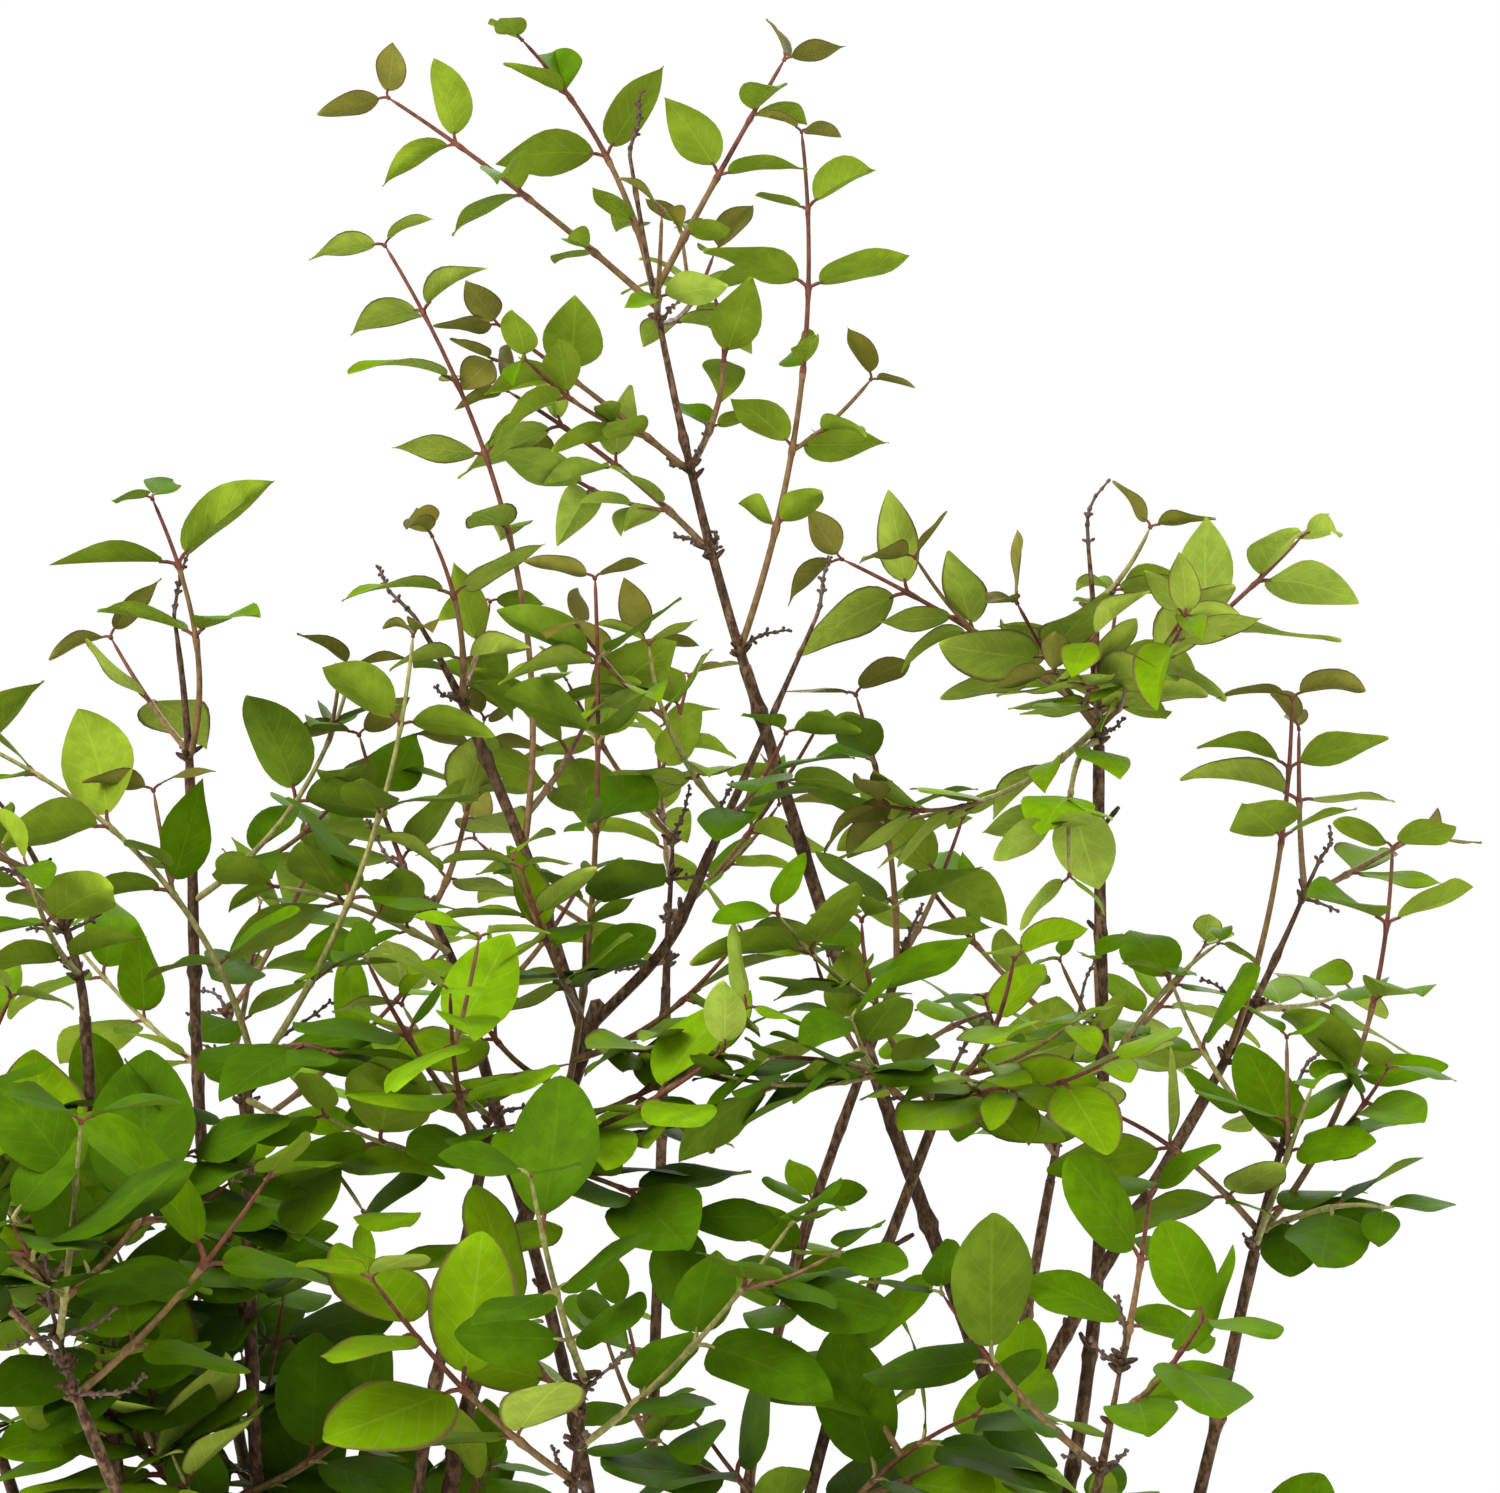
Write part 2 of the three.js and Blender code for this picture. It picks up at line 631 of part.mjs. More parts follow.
// A low mass has one arching stem and one shoot beside it.
function lowMass(limb, height, limbs, seed) {
  const curve = limbs[limb].curve;
  const root = curve.getPointAt(shareAtHeight(curve, height));
  const swing = radians(between([-LOW_SWING, LOW_SWING], dice(seed, TWIG_DRAWS.heading)));
  const rise = between(LOW_RISE, dice(seed, TWIG_DRAWS.rise));
  const length = between(LOW_LENGTH, dice(seed, TWIG_DRAWS.length));
  const to = root.clone().addScaledVector(directionOf(Math.atan2(root.y, root.x) + swing, rise), length);
  const stem = { to: to.toArray(), bow: [0, 0, LOW_ARCH * length], pairs: LOW_PAIRS };
  const fan = { count: 1, length: LOW_SECOND * length, pairs: LOW_PAIRS - 1, seed };
  return { on: limb, height, stem, fan };
}

// The line of a mass's stem, from inside its limb's side or end.
function stemLine(mass, limb) {
  const to = vector(mass.stem.to);
  if (mass.height !== undefined) {
    const root = limb.curve.getPointAt(shareAtHeight(limb.curve, mass.height));
    return bowedCurve(root, to, mass.stem.bow);
  }
  const onward = limb.curve.getTangentAt(1);
  return carriedOn(limb.curve.getPointAt(1).addScaledVector(onward, -GAP), onward, to);
}

// Grows the twigs of a mass: its one stem, and the shoots that leave it and touch nothing else.
function growTwigs(name, mass, limbs, seed) {
  const limb = limbs[mass.on];
  const carriesOn = mass.height === undefined;
  const stem = {
    curve: inSteps(stemLine(mass, limb), SHOOT_STEP),
    pairs: mass.stem.pairs ?? 0,
    thick: carriesOn ? limb.thin : SHOOT_THICK,
    thin: carriesOn ? SPIKE_THIN : SHOOT_THIN,
  };
  const twigs = [stem];
  for (const shoot of mass.shoots ?? fanShoots(stem.curve, mass.fan)) {
    const start = stem.curve.getPointAt(shoot.at);
    const curve = inSteps(bowedCurve(start, vector(shoot.to), shoot.bow), SHOOT_STEP);
    twigs.push({ curve, pairs: shoot.pairs, thick: SHOOT_THICK, thin: SHOOT_THIN });
  }
  const grown = twigs.filter((twig, i) => {
    twig.seed = seed + i * SHOOT_SEED_STEP;
    twig.spin = radians(SPIN_MOST * dice(twig.seed, TWIG_DRAWS.spin));
    if (twig !== stem && !keepsClear(shootTube(twig, LEAF_CLEARANCE), (other) => other.mass === name)) {
      return false;
    }
    twig.solid = shootTube(twig, 0);
    place(twig.solid, { mass: name, shoot: twig });
    return true;
  });
  return { name, limb, twigs: grown };
}

// The first way to turn a leaf that stays in the crown and touches no other piece, if any does.
function growLeaf(twig, pair, flank, mass) {
  const isOwn = (other) => other.shoot === twig && (other.pair ?? pair) === pair;
  for (let turn = 0; turn < TURNS_TRIED; turn += 1) {
    const leaf = leafOnPair(twig, pair, flank, turn);
    const tip = leaf.base.clone().addScaledVector(leaf.along, leaf.length);
    if (CROWN.containsPoint(tip) && keepsClear(makeLeafSpace(leaf), isOwn)) {
      const solid = makeLeaf(leaf);
      place(solid, { mass, shoot: twig, pair });
      return [solid];
    }
  }
  return [];
}

function growLeaves(growth) {
  growth.leaves = growth.twigs.flatMap((twig) =>
    Array.from({ length: 2 * twig.pairs }, (_, i) =>
      growLeaf(twig, Math.floor(i / 2), i % 2, growth.name),
    ).flat(),
  );
}

// Joins the twigs and leaves of a mass into one body, cut clear of the limb it grows on.
function joinMass(growth) {
  const pieces = [...growth.twigs.map((twig) => twig.solid), ...growth.leaves];
  const whole = pieces.reduce((joined, piece) => joined.add(piece)).subtract(growth.limb.clear);
  const bodies = whole.decompose().sort((a, b) => b.volume() - a.volume());
  return bodies[0];
}

function meshOf(name, solid, finish) {
  const mesh = new THREE.Mesh(geometryFrom(solid), new THREE.MeshStandardMaterial(finish));
  mesh.name = name;
  return mesh;
}

const groundBlock = new THREE.CylinderGeometry(POT_TOP_RADIUS, POT_TOP_RADIUS, COMPOST_LEVEL);
groundBlock.rotateX(Math.PI / 2);
groundBlock.translate(0, 0, COMPOST_LEVEL / 2 + GAP);
const ground = solidFrom(groundBlock);

const shrub = new THREE.Group();
shrub.name = "potted_snowberry";
shrub.add(meshOf("pot", makePot(), FINISHES.pot));
shrub.add(meshOf("compost", makeCompost(), FINISHES.compost));

const limbs = {};
for (const [name, limb] of Object.entries(LIMBS)) {
  limbs[name] = makeLimb(limb, limbs);
  place(limbs[name].solid, { limb: name });
  shrub.add(meshOf(name, limbs[name].solid, FINISHES.bark));
}

const masses = Object.entries(MASSES);
for (const [limb, height] of LOW_FOLIAGE) {
  masses.push([`${limb}_low_foliage`, lowMass(limb, height, limbs, height)]);
}
const growths = masses.map(([name, mass], i) =>
  growTwigs(name, mass, limbs, SEED_OF_MASSES + i * SEED_STEP),
);
for (const growth of growths) growLeaves(growth);
for (const growth of growths) shrub.add(meshOf(growth.name, joinMass(growth), FINISHES.foliage));

export default shrub;
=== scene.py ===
# A snowberry shrub in a plain nursery pot: forked canes, leafy shoots and a plain studio.
# The growth rule and its tables are in millimetres, as in the part's source, and every mesh is
# made in metres. The front of the plant faces -Y, and +X is to the right seen from there.

import math
from dataclasses import dataclass
from itertools import product

import bpy
import numpy as np
from bpy.props import FloatProperty, FloatVectorProperty, PointerProperty
from bpy.types import Operator, Panel, PropertyGroup
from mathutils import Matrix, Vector, noise


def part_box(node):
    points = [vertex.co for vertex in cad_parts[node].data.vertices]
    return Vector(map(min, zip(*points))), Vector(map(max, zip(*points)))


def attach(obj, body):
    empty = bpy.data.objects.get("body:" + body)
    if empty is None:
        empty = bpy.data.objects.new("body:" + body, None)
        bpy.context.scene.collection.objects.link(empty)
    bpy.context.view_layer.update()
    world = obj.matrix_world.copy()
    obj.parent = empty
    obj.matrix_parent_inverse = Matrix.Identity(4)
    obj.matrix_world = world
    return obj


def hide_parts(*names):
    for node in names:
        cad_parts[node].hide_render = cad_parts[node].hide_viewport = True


bl_info = {
    "name": "Potted Snowberry",
    "version": (1, 0, 0),
    "blender": (4, 5, 0),
    "location": "3D View > Sidebar > Snowberry",
    "description": "Builds a potted snowberry shrub round its solid frame",
    "category": "Object",
}

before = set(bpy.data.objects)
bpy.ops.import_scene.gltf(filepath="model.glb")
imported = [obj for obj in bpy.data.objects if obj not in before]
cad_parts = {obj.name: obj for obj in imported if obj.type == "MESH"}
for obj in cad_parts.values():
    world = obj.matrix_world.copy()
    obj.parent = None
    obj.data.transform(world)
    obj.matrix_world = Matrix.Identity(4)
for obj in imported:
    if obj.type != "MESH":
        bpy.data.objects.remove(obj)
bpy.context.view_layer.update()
MM = 0.001

# The pot and the compost, from the frame
POT_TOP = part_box("pot")[1]
COMPOST_FOOT, COMPOST_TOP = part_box("compost")

# How many points a curve has
ARC_POINTS = 25
CURVE_POINTS = 60

# Canes and boughs, as in the source
COMPOST_LEVEL = 200
FOOT_DEPTH = 9
FLARE = 1.55
GAP = 0.3

# Stems and shoots. A stem that carries a limb on ends in a dry spike.
SPIKE_THIN = 1.5
STEM_REACH = 0.4
FIRST_PAIR = 0.24
FORK_GAP = 0.12
SPIN_MOST = 50
TINT_PLACE = 0.6

# Fans: shoots all round a stem, each turned on by the golden angle
FAN_FIRST = 0.12
FAN_SHARE = 0.8
FAN_RISE = (28, 62)
FAN_SAG = 0.06

# Lower foliage leans out from the middle of the pot. It has up to five shoots, and one in the source.
LOW_LENGTH = (78, 106)
LOW_RISE = (24, 54)
LOW_SWING = 46
LOW_ARCH = 0.08
LOW_SHOOTS = 5
LOW_SECOND = 0.7
LOW_LEAVES = (0.68, 1.0)
LOW_REACH = (0.62, 1.0)
LOW_FULL = 3

# Sprigs: the finer twigs that stand over the leaves of a shoot, fewer towards the top
SPRIG_LENGTH = (28, 60)
SPRIG_HEIGHTS = (480, 640, 760, 880)
SPRIG_CHANCES = (0.6, 0.4, 0.24, 0.06)
SPRIG_SHARES = (0.1, 0.8)
SPRIG_SEED = 7.1
SPRIG_SEED_STEPS = (0.61, 0.29)
SPRIG_TAPER = (1.2, 0.6)
SPRIG_LEAF = 0.92

# Leaves, with angles in degrees. Levelling flattens the way that a leaf points.
SIZE_SPREAD = (0.82, 1.18)
LEAF_LEAN = (26, 50)
LEAF_ROLL = (-22, 22)
LEVELLING = 0.6
LIFT = (-0.2, 0.05)
TILT_ACROSS = (-0.5, 0.5)
TILT_BACK = (-0.42, 0.42)
STALK_RISE = 0.5
TURNS_TRIED = 5
LEAF_ROOM = 9.0
WOOD_ROOM = 3.2
SIZE_SHARES = (0.0, 0.2, 0.45, 0.8, 0.93, 1.0)
SIZES = (0.5, 0.74, 1.0, 1.0, 0.84, 0.62)
SIZE_HEIGHTS = (500, 560, 680, 860)
HEIGHT_SIZES = (1.2, 1.12, 0.95, 0.86)

# Leaves above this height lean their faces back, and those below it forward, up to these limits
LEAN_HEIGHT = 640
LEAN_RISE = 140
LEAN_LIMITS = (-0.42, 0.46)

# Uneven numbers that scatter what is drawn
SCATTER = (12.9898, 78.233, 43758.5453)

# The numbers drawn for each leaf, and for each twig, fan and low mass
LEAN, ROLL, LIFTED, TILT_X, TILT_Y, SIZE = range(6)
SHAPE_DRAWS = range(6, 12)
DRAWS_PER_LEAF = 6
DRAWS_PER_SHAPE = 30
SHAPE_SEED = 0.53
HEADING, RISE, LENGTH, SPIN, TINT, SPRIG, SPIKE = range(101, 108)
PALING, BRONZING = TINT + 0.25, TINT + 0.5
SEED_OF_MASSES = 5
SEED_STEP = 1.7
SHOOT_SEED_STEP = 0.37
TURN_SEED_STEP = 0.13

# The space of the whole crown. No leaf's tip leaves it, and sprigs end a little inside it.
CROWN_LOW = np.array((-292, -252, 262))
CROWN_HIGH = np.array((287, 252, 960))
CROWN_MARGIN = 12

# Leaf tints: for each height, the shares of the first four tints among the sprays below it. The first,
# for a shaded leaf, is painted shade, and the fourth, for a sunlit leaf, is painted light shining through
# it, so low sprays take more painted shade and high ones more painted light. Mid, fresh and bronze are
# the leaves' own colours.
TINTS = ("deep", "mid", "fresh", "sunlit", "bronze")
TINT_SHARES = (
    (560, (0.44, 0.34, 0.14, 0.08)),
    (680, (0.24, 0.36, 0.24, 0.16)),
    (790, (0.12, 0.36, 0.36, 0.16)),
    (1000, (0.04, 0.30, 0.48, 0.18)),
)
# Painted light: sprays on the right draw their tints as if they stood higher, up to a height, so that side
# is brighter.
PAINTED_LIGHT_SIDE = 0.9
PAINTED_LIGHT_SIDE_TOP = 780
BRONZE_HEIGHT = 680
BRONZE_SHARE = 0.65

# Each cane starts at its foot on the compost, and each bough at a cane and a height on it.
# The start, the bend, the end, and the thickness at the start and at the end.
LIMBS = {
    "right_cane": ((42, -8), (123, 4, 480), (190, 10, 596), 8.4, 4.6),
    "tall_bough": (("right_cane", 480), (84, 4, 586), (35, 0, 738), 7, 4.8),
    "upright_cane": ((66, 24), (152, 16, 520), (154, 12, 712), 7.2, 4.6),
    "far_right_cane": ((80, -18), (182, -24, 462), (201, -28, 545), 7, 4.4),
    "middle_cane": ((26, -40), (66, -58, 508), (95, -62, 588), 6.4, 4),
    "slender_cane": ((12, 42), (55, 44, 545), (86, 46, 632), 6, 3.8),
    "centre_cane": ((-58, -14), (-60, -22, 474), (-13, -24, 626), 8.4, 6.2),
    "centre_bough": (("centre_cane", 618), (10, -26, 646), (24, -26, 676), 5, 4.2),
    "upper_bough": (("centre_cane", 612), (-36, -22, 672), (-56, -20, 720), 5.4, 4.2),
    "inner_cane": ((-8, 10), (-18, 2, 470), (-56, -2, 622), 7, 4.4),
    "spiked_cane": ((-34, -44), (-70, -58, 462), (-49, -62, 574), 6.6, 4.2),
    "bare_cane": ((-64, 40), (-148, 32, 560), (-154, 30, 704), 6.8, 4.2),
    "arching_cane": ((-84, 12), (-124, -26, 476), (-127, -32, 594), 7.6, 4.6),
    "leaning_cane": ((-90, -16), (-166, -52, 480), (-176, -58, 622), 7.4, 4.4),
    "left_cane": ((-78, -40), (-190, -20, 430), (-240, -10, 560), 6.8, 4.2),
    "front_left_cane": ((-58, -64), (-128, -138, 420), (-160, -164, 506), 6.4, 4.2),
    "front_cane": ((-8, -72), (-24, -132, 400), (-16, -156, 480), 6.4, 4.2),
    "front_right_cane": ((52, -58), (124, -128, 400), (140, -150, 482), 6.4, 4.2),
    "back_cane": ((-6, 72), (2, 130, 480), (6, 146, 630), 6.8, 4.2),
    "back_left_cane": ((-46, 66), (-124, 128, 440), (-146, 146, 570), 6.6, 4.2),
    "back_right_cane": ((50, 62), (120, 122, 430), (146, 142, 560), 6.6, 4.2),
}


@dataclass
class Mass:
    """Foliage on one stem, which goes on from the end of a limb, or leaves its side at a height and
    then has leaves of its own. A shoot is the share of the stem at which it starts, its end, how far
    it bows half-way along, and the share of it below its leaves where that isn't the usual one. A
    fan is a number of shoots all round the stem, their length, a seed and their rise."""

    on: str
    to: tuple
    height: float = 0
    bow: tuple = (0, 0, 0)
    bare: float = FIRST_PAIR
    fan: tuple = ()
    leafiness: float = 1.0
    leaf_scale: float = 1.0
    shoots: tuple = ()


MASSES = {
    "tall_crown": Mass("tall_bough", (-7, 0, 931), leafiness=0.9, shoots=(
        (0.03, (54, -8, 916), (10, -2, 0)),
        (0.2, (-45, 14, 832), (3, 4, 2)),
        (0.34, (-46, -16, 850), (-2, -4, 2)),
        (0.35, (24, 26, 868), (7, 4, 0)),
        (0.63, (-84, -6, 928), (-2, -3, 4)),
        (0.66, (-40, 6, 950), (6, 6, 4)),
        (0.65, (48, -10, 940), (-2, -3, -3)),
        (0.62, (8, -46, 882), (0, -4, -4)),
        (0.6, (24, 62, 886), (0, 6, -6)),
    )),
    "right_crown": Mass("upright_cane", (148, 10, 804), leafiness=0.6, leaf_scale=1.08, shoots=(
        (0.1, (68, 4, 774), (0, -3, 3)),
        (0.12, (222, 8, 782), (3, -3, 0)),
        (0.5, (172, 18, 786), (2, 3, 0)),
        (0.08, (84, -16, 686), (4, -4, -6)),
        (0.11, (146, -56, 742), (0, -4, -4)),
        (0.14, (166, 82, 766), (0, 6, -6)),
        (0.02, (140, -44, 668), (-4, -8, 10)),
        (0.06, (124, -36, 756), (0, -3, -3)),
        (0.07, (178, -32, 752), (0, -3, -3)),
    )),
    "far_right_crown": Mass("far_right_cane", (220, -28, 612), leafiness=0.2, leaf_scale=0.95, shoots=(
        (0.08, (246, -34, 676), (9, -4, -8)),
        (0.1, (236, -72, 562), (2, -6, 4)),
        (0.1, (150, -64, 592), (0, -4, 5)),
        (0.5, (178, 16, 634), (-2, 4, -4)),
        (0.04, (216, -62, 600), (-2, -4, -4)),
    )),
    "outer_right_crown": Mass("right_cane", (236, 16, 692), leafiness=0.05, shoots=(
        (0.12, (216, -14, 726), (4, -8, -3), 0.62),
        (0.68, (264, 34, 682), (4, 4, 2), 0.4),
        (0.7, (228, 66, 720), (0, 6, -4), 0.62),
        (0.3, (246, 74, 630), (4, 4, -2)),
    )),
    "middle_crown": Mass("middle_cane", (109, -62, 626), leafiness=0.6, shoots=(
        (0.1, (72, -78, 652), (-6, -4, 0)),
        (0.3, (118, -112, 640), (2, -6, -6)),
        (0.2, (44, -112, 610), (0, -6, 4), 0.42),
        (0.05, (58, -40, 640), (-4, 2, -6)),
        (0.02, (116, -112, 600), (2, -6, 4)),
    )),
    "slender_crown": Mass("slender_cane", (96, 48, 660), leafiness=0.3, leaf_scale=1.05, shoots=(
        (0.1, (73, 34, 730), (4, -2, 0)),
        (0.4, (112, 94, 690), (0, 6, -4)),
    )),
    "centre_crown": Mass("centre_bough", (67, -24, 772), leafiness=0.8, shoots=(
        (0.1, (48, -66, 712), (0, -5, -4)),
        (0.12, (4, -44, 742), (-5, -3, -2)),
    )),
    "fork_foliage": Mass(
        "centre_cane", (-13, -60, 762), height=592, bow=(5, -12, -10), leafiness=0.6, shoots=(
            (0.2, (-34, -98, 668), (0, -6, -4)),
            (0.04, (-54, -66, 632), (-2, -4, -6)),
            (0.1, (34, -76, 648), (2, -4, -6)),
        ),
    ),
    "upper_crown": Mass("upper_bough", (-86, -22, 771), leafiness=0.15, shoots=(
        (0.1, (-67, -34, 778), (4, -3, 0)),
        (0.15, (-52, 32, 762), (0, 5, -4)),
    )),
    "long_shoot": Mass(
        "upper_bough", (-86, 6, 880), height=676, bow=(19, 4, 0), bare=0.5, leafiness=0.2, leaf_scale=1.12,
        shoots=((0.06, (-12, 52, 740), (0, 6, -4)),),
    ),
    "inner_crown": Mass("inner_cane", (-88, -8, 688), leafiness=0.1, shoots=(
        (0.2, (-96, 28, 716), (-2, 5, -4)),
        (0.3, (-118, -22, 664), (-2, -4, 4)),
        (0.5, (-58, 46, 712), (2, 4, -4)),
        (0.02, (-20, 34, 668), (0, 4, -6)),
    )),
    "spiked_crown": Mass(
        "spiked_cane", (-44, -66, 598), fan=(3, 66, 38, (-5, 40)), leafiness=0.4, shoots=(
            (0.2, (28, -116, 612), (2, -6, -6), 0.42),
            (0.3, (-82, -104, 640), (-2, -6, 0)),
            (0.02, (-30, -122, 588), (0, -4, 6)),
            (0.1, (-54, -136, 630), (-2, -6, -4), 0.5),
            (0.04, (14, -96, 560), (0, -4, 6), 0.45),
        ),
    ),
    "bare_crown": Mass("bare_cane", (-163, 30, 778), leafiness=0.1, leaf_scale=1.1, shoots=(
        (0.06, (-166, 22, 796), (9, -3, -4), 0.45),
        (0.1, (-186, 66, 752), (0, 4, -3), 0.5),
    )),
    "bare_cane_shoot": Mass(
        "bare_cane", (-98, 18, 738), height=660, bow=(8, -3, -6), leafiness=0.2,
        shoots=((0.15, (-104, 66, 700), (2, 5, -3)),),
    ),
    "arching_crown": Mass("arching_cane", (-100, -34, 626), leafiness=0.15, shoots=(
        (0.2, (-72, -52, 744), (10, -6, -4)),
        (0.25, (-216, -64, 712), (16, -6, 10)),
        (0.3, (-92, -120, 612), (0, -8, 4)),
        (0.02, (-84, -92, 562), (2, -4, 4)),
    )),
    "leaning_crown": Mass("leaning_cane", (-214, -60, 706), leafiness=0.2, leaf_scale=1.05, shoots=(
        (0.15, (-186, -112, 668), (0, -6, -4)),
        (0.3, (-236, -18, 716), (-2, 5, -2)),
        (0.5, (-248, -84, 696), (-4, -4, 2)),
    )),
    "left_crown": Mass("left_cane", (-262, -4, 622), fan=(3, 74, 31), leafiness=0.6),
    "front_left_crown": Mass(
        "front_left_cane", (-172, -172, 560), fan=(5, 80, 32), leafiness=0.8, leaf_scale=1.15
    ),
    "front_crown": Mass("front_cane", (-10, -170, 530), fan=(4, 82, 33), leafiness=0.2),
    "front_right_crown": Mass(
        "front_right_cane", (150, -160, 540), fan=(3, 62, 34), leafiness=0.1, leaf_scale=1.02
    ),
    "back_crown": Mass("back_cane", (10, 156, 706), fan=(4, 88, 35), leafiness=0.5),
    "back_left_crown": Mass("back_left_cane", (-158, 156, 640), fan=(4, 86, 36), leafiness=0.1),
    "back_right_crown": Mass("back_right_cane", (160, 154, 640), fan=(3, 86, 37), leafiness=0.15),
}

# Lower side foliage: the limb it leaves, the height at which it does, and how leafy it is
LOW_FOLIAGE = (
    ("right_cane", 372, 0.4),
    ("tall_bough", 598, 0.0),
    ("upright_cane", 600, 0.06),
    ("far_right_cane", 420, 0.02),
    ("middle_cane", 440, 0.35),
    ("slender_cane", 500, 0.03),
    ("centre_cane", 400, 0.7),
    ("front_right_cane", 350, 0.55),
    ("bare_cane", 480, 0.6),
    ("arching_cane", 440, 0.5),
    ("leaning_cane", 520, 0.7),
    ("left_cane", 350, 0.8),
    ("back_cane", 460, 0.06),
    ("back_right_cane", 400, 0.1),
)

MASS_NODES = (*MASSES, *(f"{row[0]}_low_foliage" for row in LOW_FOLIAGE))


def dice(seed, place):
    """The same number from 0 to 1 for the same seed and place in the sequence."""
    wave = math.sin(seed * SCATTER[0] + place * SCATTER[1]) * SCATTER[2]
    return wave - math.floor(wave)


def between(limits, share):
    return limits[0] + (limits[1] - limits[0]) * share


def unit(vector):
    return vector / np.linalg.norm(vector)


def turned(vector, axis, angle):
    """The vector turned about an axis of length one."""
    level = axis * (axis @ vector) * (1 - math.cos(angle))
    return vector * math.cos(angle) + np.cross(axis, vector) * math.sin(angle) + level


def sideways(heading, angle, guide=(0.2, 1, 0.1)):
    """A direction square to a heading, turned round it from the guide's side."""
    return turned(unit(np.cross(heading, guide)), heading, angle)


def direction_of(heading, rise):
    """A direction from its compass heading in radians and its rise in degrees."""
    return unit(np.array((math.cos(heading), math.sin(heading), math.tan(math.radians(rise)))))


class Line:
    """A curve through close points, read by a share of its length."""

    def __init__(self, points):
        self.points = np.asarray(points, float)
        steps = np.linalg.norm(np.diff(self.points, axis=0), axis=1)
        self.run = np.concatenate(([0.0], np.cumsum(steps)))
        self.length = float(self.run[-1])

    def at(self, share):
        where = np.clip(share, 0, 1) * self.length
        return np.stack([np.interp(where, self.run, self.points[:, i]) for i in range(3)], axis=-1)

    def heading(self, share):
        reach = 0.01
        return unit(self.at(min(1, share + reach)) - self.at(max(0, share - reach)))

    def share_at_height(self, height):
        return self.run[np.argmax(self.points[:, 2] >= height)] / self.length


def arc(start, middle, end):
    """A curve that leaves start towards middle and comes from it to the end."""
    t = np.linspace(0, 1, ARC_POINTS)[:, None]
    return Line((1 - t) ** 2 * start + 2 * t * (1 - t) * middle + t**2 * end)


def bowed(start, end, bow):
    return arc(start, (start + end) / 2 + 2 * np.array(bow), end)


def carried_on(start, direction, end):
    return arc(start, start + direction * STEM_REACH * np.linalg.norm(end - start), end)


def through(first, bend, last):
    """A smooth curve through three points, paced by the distances between them."""
    points = [2 * first - bend, first, bend, last, 2 * last - bend]
    gaps = [np.linalg.norm(b - a) for a, b in zip(points, points[1:])]
    t = np.linspace(0, 1, CURVE_POINTS)[:, None]
    runs = []
    for i in (1, 2):
        before, here, there, after = points[i - 1 : i + 3]
        gap, next_gap = gaps[i - 1] + gaps[i], gaps[i] + gaps[i + 1]
        leave = (here - before) / gaps[i - 1] - (there - before) / gap + (there - here) / gaps[i]
        arrive = (there - here) / gaps[i] - (after - here) / next_gap + (after - there) / gaps[i + 1]
        leave, arrive = leave * gaps[i], arrive * gaps[i]
        square = 3 * (there - here) - 2 * leave - arrive
        cube = 2 * (here - there) + leave + arrive
        runs.append(here + leave * t + square * t**2 + cube * t**3)
    return Line(np.vstack((runs[0][:-1], runs[1])))


@dataclass
class Limb:
    """A cane or a bough."""

    line: Line
    thick: float
    thin: float
    flare: float


@dataclass
class Twig:
    """A stem, a shoot or a sprig, with the shares of its length at which its leaf pairs stand."""

    line: Line
    seed: float
    thick: float
    thin: float
    shares: tuple
    tint: int = 0
    leaf_scale: float = 1.0
    leafiness: float = 1.0
    forks: tuple = ()
    woody: bool = False


@dataclass
class Leaf:
    """A leaf on its stalk. Its shape is six draws from 0 to 1, in the order of leaf_points."""

    node: np.ndarray
    base: np.ndarray
    along: np.ndarray
    face: np.ndarray
    heading: np.ndarray
    length: float
    tint: int
    shape: tuple


class Room:
    """Remembers places and whose they are, and tells whether a new place has room."""

    def __init__(self, room):
        self.room = room
        self.cells = {}

    def cell(self, place):
        return tuple(int(v // self.room) for v in place)

    def add(self, place, owner):
        self.cells.setdefault(self.cell(place), []).append((place, owner))

    def has(self, place, owner):
        x, y, z = self.cell(place)
        for i, j, k in product((-1, 0, 1), repeat=3):
            for other, whose in self.cells.get((x + i, y + j, z + k), ()):
                if whose != owner and sum((other - place) ** 2) < self.room**2:
                    return False
        return True


def grow_limbs():
    limbs = {}
    for name, (start, bend, end, thick, thin) in LIMBS.items():
        on_cane = isinstance(start[0], str)
        if on_cane:
            host = limbs[start[0]].line
            first = host.at(host.share_at_height(start[1]))
        else:
            first = np.array((*start, COMPOST_LEVEL - FOOT_DEPTH), float)
        line = through(first, np.array(bend, float), np.array(end, float))
        limbs[name] = Limb(line, thick, thin, 1.0 if on_cane else FLARE)
    return limbs


def pair_shares(line, spacing, first=FIRST_PAIR):
    """Where the leaf pairs stand on a twig, the last at its tip."""
    pairs = max(2, round(line.length * (1 - first) / spacing) + 1)
    return tuple(np.linspace(first, 1, pairs))


def fan_of(stem, count, length, seed, rise=FAN_RISE):
    """The shoots of a fan leave the stem one above the other, each turned on by the golden angle."""
    golden = math.pi * (3 - math.sqrt(5))
    heading = dice(seed, HEADING) * 2 * math.pi
    shoots = []
    for i in range(count):
        at = FAN_FIRST + FAN_SHARE * i / count
        long = length * between(SIZE_SPREAD, dice(seed + i, LENGTH))
        lift = between(rise, dice(seed + i, RISE))
        to = stem.at(at) + long * direction_of(heading + i * golden, lift)
        shoots.append((at, to, (0, 0, -FAN_SAG * long)))
    return shoots


